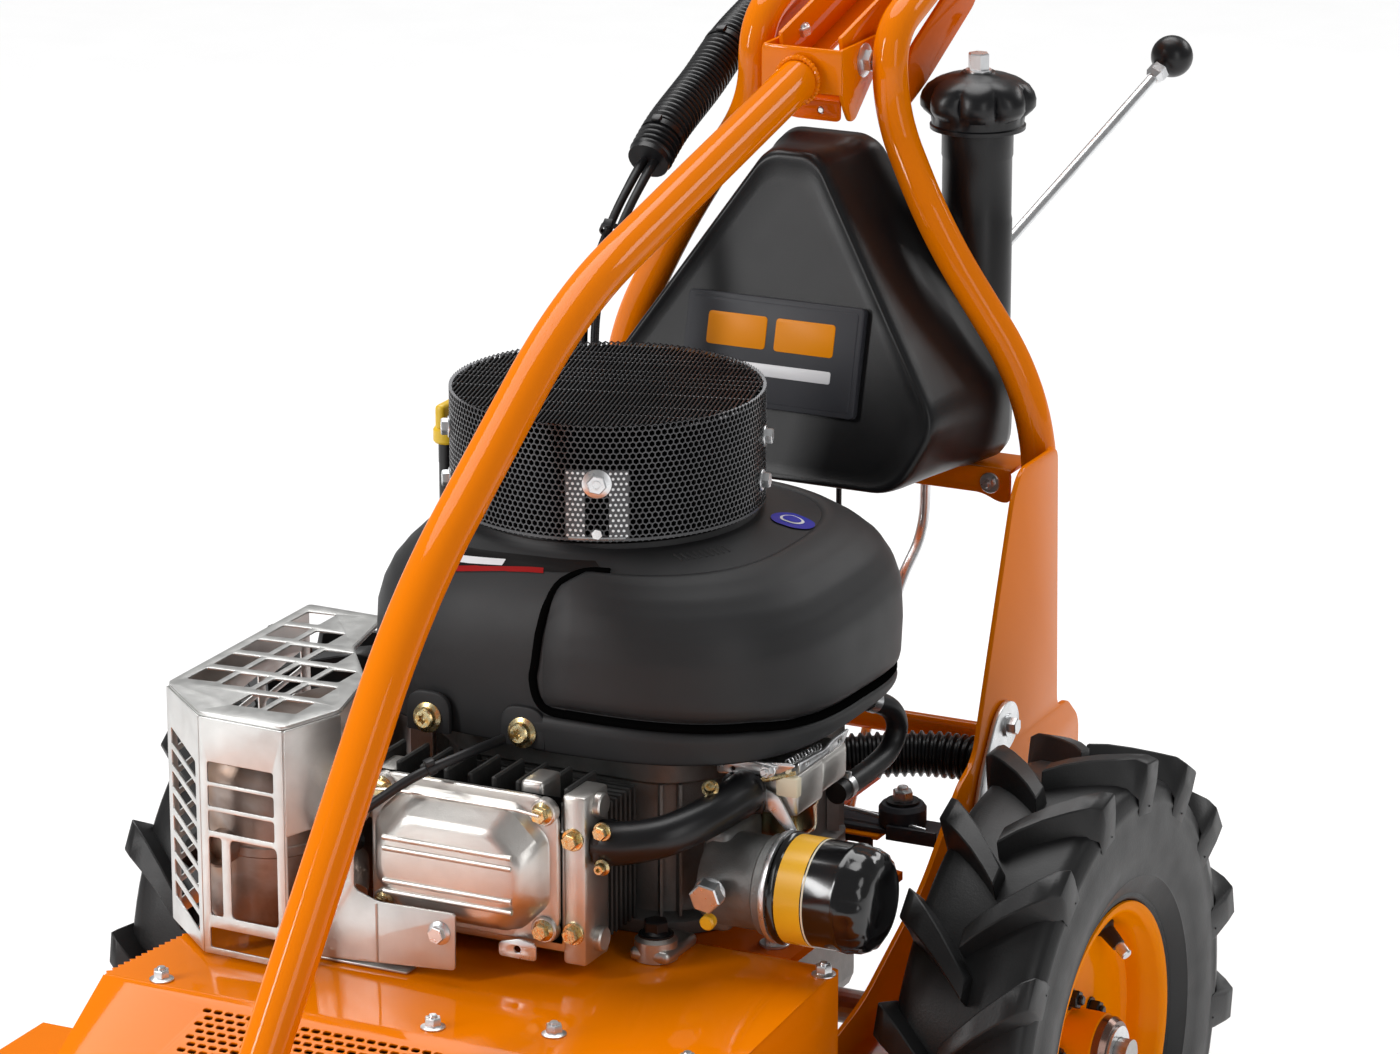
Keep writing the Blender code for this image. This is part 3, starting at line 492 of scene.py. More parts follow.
# ---- frame tubes and brackets -------------------------------------------------------------------------
STRUT = [
    (0, 0.199, 0.833), (0, -0.1592, 0.7506), (0, -0.386, 0.6052), (0, -0.694, 0.2295), (0, -1.1035, 0.2295)]
REAR_TUBE = [
    (0.172, 0.262, 0.2), (0.172, 0.249, 0.602), (0.1, 0.224, 0.7255), (0.0545, 0.244, 0.802),
    (0.053, 0.24, 0.864), (0.053, 0.37, 0.909)]
SIDES = (("left", 1), ("right", -1))


def mirrored(points, sign):
    return [(sign * p[0], p[1], p[2]) for p in points]


def make_tubes():
    line = resampled(fillet(STRUT, 0.075, 14), 0.006)
    beads = [weld_bead(
        [
            (math.cos(t) * 0.016, 0.202 - 0.0035, 0.833 + math.sin(t) * 0.0165)
            for t in [math.tau * i / 24 for i in range(25)]],
    0.0024)]
    piece(
        "front_strut_tube", merged(sweep(line, 0.0153, 32), *beads), ORANGE,
        replaces=["front_strut"])
    for name, sign in SIDES:
        line = resampled(fillet(mirrored(REAR_TUBE, sign), 0.06, 14), 0.006)
        piece(
            "rear_tube_" + name + "_smooth", sweep(line, 0.013, 32), ORANGE,
            replaces=["rear_tube_" + name])
    piece(
        "lower_cross_rod", sweep([(-0.188, 0.188, 0.362), (0.188, 0.188, 0.362)], 0.0088, 24), ORANGE,
        replaces=["lower_cross_tube"])


def make_side_plates():
    """Side plates with the gusset folded along its back edge and stitched to the leg."""
    outline = arc_corners(
        [
            (-0.205, 0.15), (0.06, 0.145), (0.285, 0.17), (0.285, 0.352), (0.262, 0.372), (0.242, 0.372),
            (0.234, 0.574), (0.168, 0.574), (0.154, 0.558), (0.0905, 0.3786), (0.064, 0.368), (0.001, 0.312),
            (-0.1, 0.262), (-0.205, 0.24)],
        [0.01, 0.02, 0.03, 0.01, 0.006, 0.01, 0.01, 0.02, 0.012, 0.016, 0.01, 0.02, 0.02, 0.01])
    holes = [disc_hole(0.0, 0.213, 0.018, 28), disc_hole(0.15, 0.3, 0.007), disc_hole(-0.15, 0.2, 0.006)]
    for name, sign in SIDES:
        place = facing_left(0.1895 if sign > 0 else -0.1935)
        shapes = [sheet_metal(outline, 0.004, place, holes, 0.0006)]
        stitch = [(0.186 * sign, 0.2375, z) for z in (0.566, 0.548, 0.53, 0.512, 0.494)]
        shapes.append(weld_bead(stitch, 0.003))
        shapes.append(
            weld_bead([(0.186 * sign, 0.2395, z) for z in (0.45, 0.432, 0.414, 0.396, 0.38)], 0.003))
        strip = [(0.0, 0.0), (0.0095, 0.0), (0.0095, 0.2), (0.0, 0.2)]
        low = 0.185 if sign > 0 else -0.1888
        shapes.append(
            sheet_metal(arc_corners(strip, 0.003), 0.0038, facing_left(low, 0.23, 0.372), edge=0.0005))
        piece(
            "side_plate_" + name + "_folded", merged(*shapes), ORANGE,
            replaces=["side_plate_" + name])


def make_crossbar():
    """Pressed bar under the tank with an ear at each end that runs down the leg."""
    face = [
        (-0.1545, 0.5495), (0.1545, 0.5495), (0.1545, 0.5245), (0.146, 0.5242), (0.132, 0.53), (-0.132, 0.53),
        (-0.146, 0.5242), (-0.1545, 0.5245)]
    front = sheet_metal(
        arc_corners(face, 0.006), 0.0035, facing_front(0.241), [disc_hole(0.139, 0.539, 0.003)], 0.0006)
    top = block((-0.1545, 0.2378, 0.546), (0.1545, 0.2795, 0.5494), 0.0008)
    fold = sweep([(-0.154, 0.2394, 0.5476), (0.154, 0.2394, 0.5476)], 0.0018, 12)
    piece(
        "tank_crossbar_pressed", merged(front, top, fold), ORANGE, replaces=["tank_crossbar"])
    bolts = [
        hex_bolt((sign * 0.139, 0.2374, 0.5385), (0, -1, 0), 0.0075, 0.0045, washer=0.0078, tail=0.003)
        for sign in (1, -1)]
    piece("crossbar_bolts", merged(*bolts), ZINC)


def make_head():
    """Folded head bracket, its lower lip and the adjustment plates that hold the handlebar column."""
    front = arc_corners(
        [(-0.0318, 0.856), (0.0318, 0.856), (0.0318, 0.823), (-0.0318, 0.823)], [0.0045, 0.0045, 0.001, 0.001]
    )
    shapes = [sheet_metal(front, 0.003, facing_front(0.2078), edge=0.0007)]
    flange = [
        (0.2065, 0.856), (0.2845, 0.856), (0.2845, 0.844), (0.23, 0.8005), (0.221, 0.8003), (0.212, 0.812),
        (0.2065, 0.823)]
    flange = arc_corners(flange, [0.003, 0.01, 0.012, 0.006, 0.006, 0.008, 0.002])
    for _, sign in SIDES:
        x = 0.0288 if sign > 0 else -0.0318
        shapes.append(sheet_metal(flange, 0.003, facing_left(x), edge=0.0007))
        shapes.append(sweep([(sign * 0.03, 0.2066, 0.824), (sign * 0.03, 0.2066, 0.8545)], 0.0017, 12))
    piece("head_bracket_folded", merged(*shapes), ORANGE, replaces=["head_bracket"])

    lip = arc_corners(
        [(-0.03, 0.8175), (0.028, 0.8175), (0.028, 0.802), (-0.012, 0.8022), (-0.03, 0.8085)],
        [0.002, 0.002, 0.004, 0.01, 0.008])
    shapes = [sheet_metal(lip, 0.003, facing_front(0.214), [disc_hole(0.0125, 0.8095, 0.0028)], 0.0007)]
    shapes.append(block((-0.0285, 0.2125, 0.815), (0.027, 0.244, 0.8178), 0.0006))
    # the darker orange on the hanger is painted shade under the tank
    piece("tank_hanger", merged(*shapes), ORANGE_SHADE)
    pin = spin(
        [(0, 0), (0.0026, 0), (0.0026, 0.0012), (0.0018, 0.0022), (0, 0.0022)],
        frame_at((0.0125, 0.2135, 0.8095), (0, -1, 0)), 16)
    bolts = [hex_bolt((0.032, 0.244, 0.842), (1, 0, 0), 0.015, 0.007, flange=0.0125, tail=0.001)]
    bolts.append(hex_bolt((-0.0235, 0.256, 0.8545), (0.1, -0.3, 0.95), 0.012, 0.0065, tail=0.0015))
    piece("head_fasteners", merged(pin, *bolts), ZINC)

    quadrant = arc_corners(
        [
            (0.2467, 0.8006), (0.2937, 0.8176), (0.3867, 0.8626), (0.3917, 0.8886), (0.3567, 0.8896),
            (0.2667, 0.8486)],
        [0.008, 0.012, 0.012, 0.008, 0.01, 0.01])
    shapes = []
    for _, sign in SIDES:
        x = 0.0562 if sign > 0 else -0.0596
        shapes.append(
            sheet_metal(quadrant, 0.0034, facing_left(x), [disc_hole(0.3777, 0.8816, 0.0045)], 0.0008))
    # the darker orange on the quadrants is painted shade
    piece("height_quadrants", merged(*shapes), ORANGE_SHADE)


# ---- handlebar ----------------------------------------------------------------------------------------
def make_handlebar():
    """U-channel column with its slot, the cross tube, ribbed grips and flat hand levers."""
    lean = math.radians(14)
    pivot = Vector((0.0, 0.245, 0.85))
    place = Matrix.Translation(pivot) @ Matrix.Rotation(lean, 4, "X") @ Matrix.Translation(
        (0, -0.022, -0.018))
    length, half, wall, tall = 0.4, 0.0255, 0.0036, 0.036
    slit = arc_corners([(-0.0075, 0.04), (0.0075, 0.04), (0.0075, 0.3), (-0.0075, 0.3)], 0.0074, 6)
    floor = sheet_metal(
        [(-half, 0.0), (half, 0.0), (half, length), (-half, length)], wall, place, [slit], 0.0006)
    shapes = [floor]
    for _, sign in SIDES:
        x = half - wall if sign > 0 else -half
        side = block((x, 0.0, 0.0006), (x + wall, length, tall), 0.0009)
        shapes.append(moved(side, place))
    channel = piece(
        "handlebar_channel", merged(*shapes), ORANGE, "handlebar", ["handlebar_column"])
    # the floor's upper face between the sides takes the darker orange: painted shade inside the channel
    channel.data.materials.append(ORANGE_SHADE)
    up = (place.to_3x3() @ Vector((0, 0, 1))).normalized()
    for face in channel.data.polygons:
        across = abs(face.center.x) < half - wall - 0.0002
        if across and face.normal.dot(up) > 0.8:
            face.material_index = 1

    end = pivot + Matrix.Rotation(lean, 3, "X") @ Vector((0, length - 0.022, 0))
    cross = (end.y + 0.0135, end.z)
    bend, tip = Vector((0.3, 0.69, 1.0)), Vector((0.3, 0.856, 1.04))
    route = [
        (0.0, *cross), (0.15, *cross), (0.262, cross[0] + 0.03, cross[1] + 0.02), tuple(bend), tuple(tip)]
    line = resampled(fillet(mirrored(route[:0:-1], -1) + route, 0.06, 10), 0.008)
    tube = sweep(line, 0.0123, 28)
    bead = weld_bead(
        [(x, cross[0] - 0.0105, cross[1] + 0.006) for x in (-0.02, -0.01, 0.0, 0.01, 0.02)], 0.0022)
    piece("handlebar_bent_tube", merged(tube, bead), ORANGE, "handlebar", ["handlebar_tube"])
    along = (tip - bend).normalized()
    for name, sign in SIDES:
        end = Vector((sign * tip.x, tip.y, tip.z)) + Vector((0, along.y, along.z)) * 0.0036
        profile = [(0.0127, -0.1045), (0.0163, -0.1045), (0.0168, -0.102)]
        for i in range(15):
            z = -0.096 + i * 0.006
            profile += [(0.0168, z), (0.0154, z + 0.0012), (0.0154, z + 0.0026), (0.0168, z + 0.0038)]
        profile += [(0.0168, -0.003), (0.015, -0.0006), (0.0, 0.0)]
        grip = spin(profile, frame_at(end, (0, along.y, along.z)), 32)
        piece("grip_" + name + "_ribbed", grip, RUBBER, "handlebar", ["grip_" + name])
    for name, sign in (("drive_lever", 1), ("blade_lever", -1)):
        line = fillet(
            [(sign * 0.3, 0.735, 0.98), (sign * 0.3, 0.775, 0.974), (sign * 0.3, 0.85, 0.988)], 0.03, 8)
        blade = sweep(line, 1.0, section=[(x * 0.0052, y * 0.0036) for x, y in circle(1.0, 16)])
        knuckle = spin(
            [(0, -0.005), (0.005, -0.005), (0.005, 0.005), (0, 0.005)],
            frame_at((sign * 0.3, 0.7352, 0.98), (1, 0, 0)), 20)
        piece(name + "_blade", merged(blade, knuckle), BLACK, name, [name])


# ---- wheels -------------------------------------------------------------------------------------------
RIM_X = 0.2965
HUB_Z = 0.213
LUGS = 16
LUG_TURNS = {1: 17.4, -1: 8.0}  # first bar of the outer and of the inner row, in degrees


def tyre_profile():
    """Outer side of the casing, as (radius, distance from the middle plane) from the outer bead inwards."""
    outer = [
        (0.108, 0.0385), (0.1105, 0.0405), (0.113, 0.04), (0.115, 0.0418), (0.125, 0.047), (0.127, 0.0484),
        (0.129, 0.048), (0.14, 0.0505), (0.153, 0.0515), (0.166, 0.051), (0.176, 0.0497), (0.1785, 0.0502),
        (0.1805, 0.0494), (0.188, 0.0475), (0.1925, 0.044), (0.195, 0.037), (0.1962, 0.025), (0.1968, 0.012),
        (0.197, 0.0)]
    return outer + [(r, -x) for r, x in outer[-2::-1]]


def lug(sign, turn):
    """One bar of the tread, from just past the middle plane out over the shoulder and down the side."""
    stations = (
        # across, base radius, top radius, angle on the tyre, half width at the top, half width at the base
        (-0.0050, 0.1950, 0.2115, 0.0, 0.0075, 0.0105),
        (0.0060, 0.1950, 0.2128, 3.3, 0.0080, 0.0112),
        (0.0200, 0.1945, 0.2130, 7.2, 0.0090, 0.0124),
        (0.0340, 0.1930, 0.2130, 10.6, 0.0102, 0.0138),
        (0.0460, 0.1890, 0.2130, 13.2, 0.0112, 0.0148),
        (0.0533, 0.1840, 0.2095, 14.6, 0.0112, 0.0144),
        (0.0535, 0.1700, 0.1950, 14.9, 0.0096, 0.0124),
    )
    rings = []
    for across, base, top, angle, narrow, wide in stations:
        ring = []
        for radius, width in ((base, wide), (top, narrow)):
            for side in ((-1, 1) if radius == base else (1, -1)):
                t = math.radians(turn + angle) + side * width / radius
                lean = -0.0035 if (radius == base and abs(across) > 0.05) else 0.0
                ring.append(((across + lean) * sign, -radius * math.cos(t), radius * math.sin(t)))
        rings.append(ring)
    return softened(skin(rings), 0.0009, 1, 24)


def make_tyre(name, sign):
    centre = Matrix.Translation((sign * RIM_X, 0, HUB_Z))
    steps = 96
    rings = []
    for radius, across in tyre_profile():
        rings.append([(sign * across, a, b) for a, b in circle(radius, steps)])
    shapes = [skin(rings, start=False, end=False)]
    inner = [[(sign * x, a, b) for a, b in circle(0.1075, steps)] for x in (0.0385, -0.0385)]
    shapes.append(skin(inner, start=False, end=False))
    bars = [lug(1, 0.0), lug(-1, 0.0)]
    pitch = 360 / LUGS
    for k in range(LUGS):
        for side, bar in ((1, bars[0]), (-1, bars[1])):
            turn = k * pitch + LUG_TURNS[side * sign]
            shapes.append(moved(bar, Matrix.Rotation(-math.radians(turn), 4, "X")))
        ring = math.radians((k + 0.5) * pitch)
        nub = spin(
            [(0, 0), (0.0011, 0), (0.0007, 0.0022), (0, 0.0026)],
            frame_at((sign * 0.0492, -0.177 * math.cos(ring), 0.177 * math.sin(ring)), (sign, 0, 0)), 8)
        shapes.append(nub)
    piece(
        "tyre_" + name + "_lugged", moved(merged(*shapes), centre), TYRE, "wheel_" + name,
        ["tyre_" + name], smooth=38)


def make_rim(name, sign):
    outward = frame_at((sign * RIM_X, 0, HUB_Z), (sign, 0, 0))
    profile = [
        (0.101, -0.036), (0.1075, -0.0385), (0.1078, -0.04), (0.1055, -0.0409), (0.099, -0.04),
        (0.096, -0.033), (0.095, -0.005), (0.093, 0.001), (0.086, 0.004), (0.056, 0.0055), (0.043, 0.004),
        (0.028, 0.004), (0.028, -0.0375), (0.0135, -0.0375), (0.0135, 0.0355), (0.024, 0.0355),
        (0.0275, 0.034), (0.028, 0.011), (0.043, 0.01), (0.055, 0.012), (0.08, 0.01), (0.09, 0.012),
        (0.0935, 0.015), (0.0945, 0.022), (0.096, 0.029), (0.0972, 0.03), (0.0985, 0.036), (0.1005, 0.0392),
        (0.105, 0.0408), (0.1072, 0.0405), (0.1078, 0.039), (0.104, 0.0365), (0.101, 0.0355)]
    piece(
        "rim_" + name + "_stepped", spin(profile, outward, 72, closed=True), ORANGE_RIM,
        "wheel_" + name, ["rim_" + name], smooth=40)
    hub = [(0.0131, 0.012), (0.0262, 0.012), (0.0262, 0.04), (0.0235, 0.044), (0.0131, 0.044)]
    piece("hub_sleeve_" + name, spin(hub, outward, 40, closed=True), HUB, "wheel_" + name)
    metal = [moved(
        spin([(0.0128, 0.0441), (0.0205, 0.0441), (0.0205, 0.0462), (0.0128, 0.0462)], steps=32, closed=True),
    outward)]
    metal.append(moved(hex_bolt((0, 0, 0.0458), (0, 0, 1), 0.019, 0.008), outward))
    piece("wheel_nut_" + name, merged(*metal), ZINC, "wheel_" + name)
    dark = []
    for k in range(5):
        t = math.tau * k / 5 + 0.12
        dark.append(moved(
            hex_bolt(
                (0.038 * math.cos(t), 0.038 * math.sin(t), 0.0098), (0, 0, 1), 0.012, 0.007, washer=0.0085,
                tail=0.003),
        outward))
    piece("wheel_studs_" + name, merged(*dark), BLACK, "wheel_" + name)
    t = math.radians(-34)
    foot = Vector((0.089 * math.cos(t), 0.089 * math.sin(t), 0.012))
    lean = Vector((-0.62 * math.cos(t), -0.62 * math.sin(t), 0.78)).normalized()
    stem = [
        (0, 0.0), (0.0088, 0.0), (0.0082, 0.003), (0.0058, 0.006), (0.0052, 0.016), (0.0048, 0.02), (0, 0.02)]
    cap = [
        (0, 0.02), (0.0034, 0.02), (0.0034, 0.0215), (0.0042, 0.022), (0.0042, 0.029), (0.0034, 0.03),
        (0, 0.03)]
    local = frame_at(foot, lean)
    piece(
        "valve_stem_" + name, moved(spin(stem, steps=24), outward @ local), RUBBER,
        "wheel_" + name)
    piece("valve_cap_" + name, moved(spin(cap, steps=24), outward @ local), ZINC, "wheel_" + name)


def make_castor():
    centre = (0, -1.09, 0.1)
    profile = [
        (0.062, 0.018), (0.066, 0.0215), (0.076, 0.0246), (0.086, 0.0235), (0.093, 0.019), (0.0965, 0.0145),
        (0.0955, 0.0125), (0.098, 0.011), (0.0998, 0.005), (0.0985, 0.002), (0.0985, -0.002),
        (0.0998, -0.005), (0.098, -0.011), (0.0955, -0.0125), (0.0965, -0.0145), (0.093, -0.019),
        (0.086, -0.0235), (0.076, -0.0246), (0.066, -0.0215), (0.062, -0.018)]
    across = frame_at(centre, (1, 0, 0))
    piece(
        "castor_tyre_ribbed", spin(profile, across, 72, closed=True), TYRE, "castor_wheel",
        ["castor_tyre"])
    hub = [
        (0.0617, 0.017), (0.06, 0.0176), (0.057, 0.015), (0.054, 0.006), (0.03, 0.005), (0.0215, 0.012),
        (0.02, 0.0315), (0.0077, 0.0315), (0.0077, -0.0315), (0.02, -0.0315), (0.0215, -0.012),
        (0.03, -0.005), (0.054, -0.006), (0.057, -0.015), (0.06, -0.0176), (0.0617, -0.017)]
    piece(
        "castor_hub_moulded", spin(hub, across, 56, closed=True), BLACK, "castor_wheel",
        ["castor_rim"])
    nuts = [
        hex_bolt((sign * 0.0425, *centre[1:]), (sign, 0, 0), 0.015, 0.006, washer=0.0095) for sign in (1, -1)]
    piece("castor_nuts", merged(*nuts), ZINC, "castor_swivel")
    ring = [(0.0262, 0.2118), (0.0262, 0.2849), (0.025, 0.2849), (0.016, 0.2849), (0.016, 0.2118)]
    piece(
        "castor_head_tube", spin(ring, Matrix.Translation((0, -1.13, 0)), 48, closed=True), ORANGE,
        replaces=["castor_head"])


# ---- fuel tank, cap and badge -------------------------------------------------------------------------
def squared(x, y, half_x, half_y, power, steps):
    """An outline between an ellipse and a rectangle; power 1 is the ellipse."""
    ring = []
    for i in range(steps):
        t = math.tau * i / steps
        c, s = math.cos(t), math.sin(t)
        ring.append(
            (x + half_x * math.copysign(abs(c) ** power, c), y + half_y * math.copysign(abs(s) ** power, s)))
    return ring


TANK_SLOPE = 0.26


def tank_face(z):
    return 0.1283 + TANK_SLOPE * (z - 0.552)


def make_tank():
    """A blow-moulded wedge with a raised front panel and rounded shoulders, its filler pipe and its badge."""
    front = [
        (-0.0205, 0.7825), (0.0205, 0.7825), (0.138, 0.604), (0.112, 0.5525), (-0.112, 0.5525),
        (-0.138, 0.604)]
    back = [(-0.036, 0.7855), (0.036, 0.7855), (0.15, 0.606), (0.15, 0.5525), (-0.15, 0.5525), (-0.15, 0.606)]
    radii = [0.013, 0.013, 0.02, 0.02, 0.02, 0.02]

    def ring(share, shrink, step_back):
        outline = [(a[0] + (b[0] - a[0]) * share, a[1] + (b[1] - a[1]) * share) for a, b in zip(front, back)]
        middle = (0.0, 0.64)
        outline = [
            (
                middle[0] + (x - middle[0]) * (1 - shrink / 0.11),
                middle[1] + (z - middle[1]) * (1 - shrink / 0.11)
            ) for x, z in outline]
        made = []
        for x, z in arc_corners(outline, radii, 8):
            near = tank_face(z) + step_back
            made.append((x, near + (0.2677 - near) * share if share < 1 else 0.2677, z))
        return made

    rings = [
        ring(0.0, 0.016, 0.0022), ring(0.0, 0.009, 0.0018), ring(0.0, 0.0062, 0.001),
        ring(0.0, 0.004, 0.0002), ring(0.0, 0.0026, 0.0004), ring(0.0, 0.0013, 0.0013),
        ring(0.0, 0.0005, 0.0028), ring(0.03, 0.0001, 0.0022), ring(0.1, 0.0, 0.001), ring(0.34, 0.001, 0.0),
        ring(0.62, 0.0012, 0.0), ring(0.66, 0.0002, 0.0), ring(0.88, 0.0004, 0.0), ring(0.95, 0.0026, 0.0),
        ring(1.0, 0.0075, 0.0)]
    shell = skin(rings)
    bridge = block((0.0855, 0.2405, 0.5805), (0.1245, 0.2845, 0.6175), 0.008, 4)
    neck = [
        (0.0, 0.5755), (0.02, 0.5755), (0.0258, 0.581), (0.0263, 0.59), (0.0263, 0.722), (0.0256, 0.725),
        (0.0256, 0.768), (0.0263, 0.77), (0.0263, 0.7885), (0.0, 0.7885)]
    pipe = spin(neck, Matrix.Translation(FILLER_AT), 48)
    tab = block((0.08, 0.278, 0.756), (0.087, 0.286, 0.78), 0.002, 3)
    piece(
        "fuel_tank_moulded", merged(shell, bridge, pipe, tab), TANK, replaces=["fuel_tank"],
        smooth=60)

    slope = Vector((0, TANK_SLOPE, 1.0)).normalized()
    outward = Vector((0, -1.0, TANK_SLOPE)).normalized()
    middle = Vector((0.0035, tank_face(0.641), 0.641))
    place = Matrix.Translation(middle + outward * 0.0012) @ Matrix(
        (Vector((1, 0, 0)), slope, Vector((1, 0, 0)).cross(slope))
    ).transposed().to_4x4()

    def badge_shape(low, high, start, rise, corner, edge=0.0004):
        corners = [(low[0], low[1]), (high[0], low[1]), (high[0], high[1]), (low[0], high[1])]
        return prism(arc_corners(corners, corner), start, rise, place, edge, 2)

    plate = badge_shape((-0.07, -0.04), (0.07, 0.04), -0.006, 0.003, 0.004, 0.001)
    raised = badge_shape((-0.066, -0.036), (0.066, 0.036), 0.0, 0.0034, 0.003)
    piece("tank_badge_plate", merged(plate, raised), BADGE)
    blocks = [
        badge_shape((-0.052, 0.002), (-0.005, 0.026), 0.003, 0.0039, 0.003),
        badge_shape((0.002, 0.002), (0.049, 0.026), 0.003, 0.0039, 0.003)]
    piece("tank_badge_blocks", merged(*blocks), PRINT_ORANGE)
    piece(
        "tank_badge_bar", badge_shape((-0.046, -0.017), (0.049, -0.008), 0.003, 0.0038, 0.002), WHITE)


def make_cap():
    """Filler cap: a domed top, deep V lobes round the grip and a hexagon stud with its dark seat."""
    centre = Matrix.Translation(FILLER_AT)
    steps, lobes = 96, 8

    def ring(radius, depth, z):
        made = []
        for i in range(steps):
            t = math.tau * i / steps
            wave = abs(math.sin(lobes * t / 2)) ** 0.65
            size = radius - depth * (1 - wave)
            made.append((size * math.cos(t), size * math.sin(t), z))
        return made

    rings = [
        ring(0.0335, 0.0, 0.7895), ring(0.0338, 0.0, 0.7935), ring(0.0345, 0.001, 0.799),
        ring(0.04, 0.0055, 0.8035), ring(0.0422, 0.007, 0.8065), ring(0.0424, 0.0072, 0.812),
        ring(0.041, 0.0062, 0.8165), ring(0.0375, 0.0034, 0.8215), ring(0.032, 0.0006, 0.825),
        ring(0.024, 0.0, 0.828), ring(0.014, 0.0, 0.8298), ring(0.012, 0.0, 0.8318)]
    top = skin(rings)
    skirt = spin(
        [(0.0338, 0.7893), (0.035, 0.7897), (0.0352, 0.7925), (0.0338, 0.7935)], steps=56, closed=True)
    piece(
        "fuel_cap_lobed", moved(merged(top, skirt), centre), BLACK, "fuel_cap", ["fuel_cap"],
        smooth=40)
    stud = merged(
        spin([(0, 0.8312), (0.0095, 0.8312), (0.0095, 0.8332), (0, 0.8332)], steps=28),
        hex_bolt((0, 0, 0.833), (0, 0, 1), 0.014, 0.0122))
    piece("fuel_cap_stud", moved(stud, centre), ZINC, "fuel_cap")


# ---- levers, conduits, cables and hoses ---------------------------------------------------------------
def ribbed_hose(route, radius, pitch, ends, depth):
    """Corrugated hose with plain rubber cuffs at its ends."""
    line = resampled(flowing(route, 10), pitch / 4)
    cuff = round(ends / (pitch / 4))
    sizes = []
    for i in range(len(line)):
        if i < cuff or i >= len(line) - cuff:
            sizes.append(radius * 0.93)
        else:
            sizes.append(radius - depth * (0, 0, 1, 1)[(i - cuff) % 4])
    return sweep(line, sizes, 26), line


def tie(line, share, radius, width=0.0046):
    """A cable tie round a hose, with its head."""
    k = max(1, min(len(line) - 2, round(share * (len(line) - 1))))
    along = (line[k + 1] - line[k - 1]).normalized()
    place = frame_at(line[k], along)
    band = spin(
        [
            (radius - 0.0006, -width / 2), (radius + 0.0007, -width / 2), (radius + 0.0007, width / 2),
            (radius - 0.0006, width / 2)],
        steps=28, closed=True)
    head = block((radius - 0.0006, -0.0035, -0.0032), (radius + 0.0032, 0.0035, 0.0032), 0.0006)
    return moved(merged(band, head), place)


CONDUIT = [
    (-0.1, 0.1575, 0.7716), (-0.1, 0.1913, 0.7909), (-0.1, 0.2462, 0.812), (-0.1, 0.2919, 0.8325),
    (-0.1, 0.3454, 0.848), (-0.1, 0.3983, 0.861)]
CABLES = [
    (-0.1, 0.1557, 0.7706), (-0.1, 0.14, 0.7615), (-0.1, 0.1117, 0.7418), (-0.1, 0.0844, 0.7147),
    (-0.1, 0.0656, 0.6826), (-0.1, 0.062, 0.64), (-0.1, 0.07, 0.56), (-0.1, 0.08, 0.47)]
REAR_CONDUIT = [
    (0.06, 0.085, 0.36), (0.095, 0.105, 0.362), (0.135, 0.124, 0.364), (0.165, 0.13, 0.364),
    (0.184, 0.13, 0.364)]
FUEL_HOSE = [
    (0.163, -0.034, 0.4585), (0.171, -0.012, 0.446), (0.173, -0.003, 0.43), (0.171, -0.012, 0.4155),
    (0.17, -0.04, 0.4105), (0.17, -0.098, 0.4105)]
PLUG_LEAD = [
    (-0.096, -0.3, 0.4), (-0.1, -0.33, 0.412), (-0.075, -0.35, 0.43), (-0.035, -0.33, 0.462),
    (-0.01, -0.3, 0.474), (0.0, -0.262, 0.475)]
SHIFT_LEVER = [
    (0.055, 0.16, 0.2585), (0.06, 0.252, 0.4465), (0.06, 0.299, 0.4725), (0.06, 0.302, 0.56),
    (0.056, 0.3756, 0.64), (0.127, 0.59, 0.776)]


def make_conduits():
    hose, line = ribbed_hose(CONDUIT, 0.0168, 0.0048, ends=0.006, depth=0.0022)
    piece("control_conduit_ribbed", hose, BLACK, replaces=["control_conduit"], smooth=24)
    piece(
        "conduit_ties", merged(tie(line, 0.1, 0.016), tie(line, 0.55, 0.0164), tie(line, 0.96, 0.016)), BLACK)
    hose, _ = ribbed_hose(REAR_CONDUIT, 0.0168, 0.0062, ends=0.004, depth=0.0026)
    piece("rear_conduit_ribbed", hose, BLACK, replaces=["rear_conduit"], smooth=24)

    strands = []
    centre = flowing(CABLES, 10)
    for k, (thick, gap) in enumerate(((0.0032, 0.0062), (0.0032, 0.0062), (0.002, 0.0064), (0.002, 0.006))):
        turn = math.tau * (k / 4) + 0.5
        strand = []
        for i, p in enumerate(centre):
            turned = turn + i * 0.012
            strand.append(
                p + Vector((math.cos(turned), 0.65 * math.sin(turned), 0.35 * math.sin(turned))) * gap)
        strands.append(sweep(resampled(strand, 0.006), thick, 12))
    bands = [tie(resampled(centre, 0.004), share, 0.009, 0.004) for share in (0.2, 0.55, 0.85)]
    piece(
        "control_cable_bundle", merged(*strands, *bands), RUBBER, replaces=["control_cables"])

    piece(
        "fuel_hose_smooth", sweep(resampled(flowing(FUEL_HOSE, 10), 0.003), 0.0077, 22), RUBBER,
        replaces=["fuel_hose"])
    line = resampled(flowing(PLUG_LEAD, 10), 0.003)
    piece(
        "spark_plug_lead_smooth", sweep(line, 0.0034, 16), RUBBER, replaces=["spark_plug_lead"]
    )


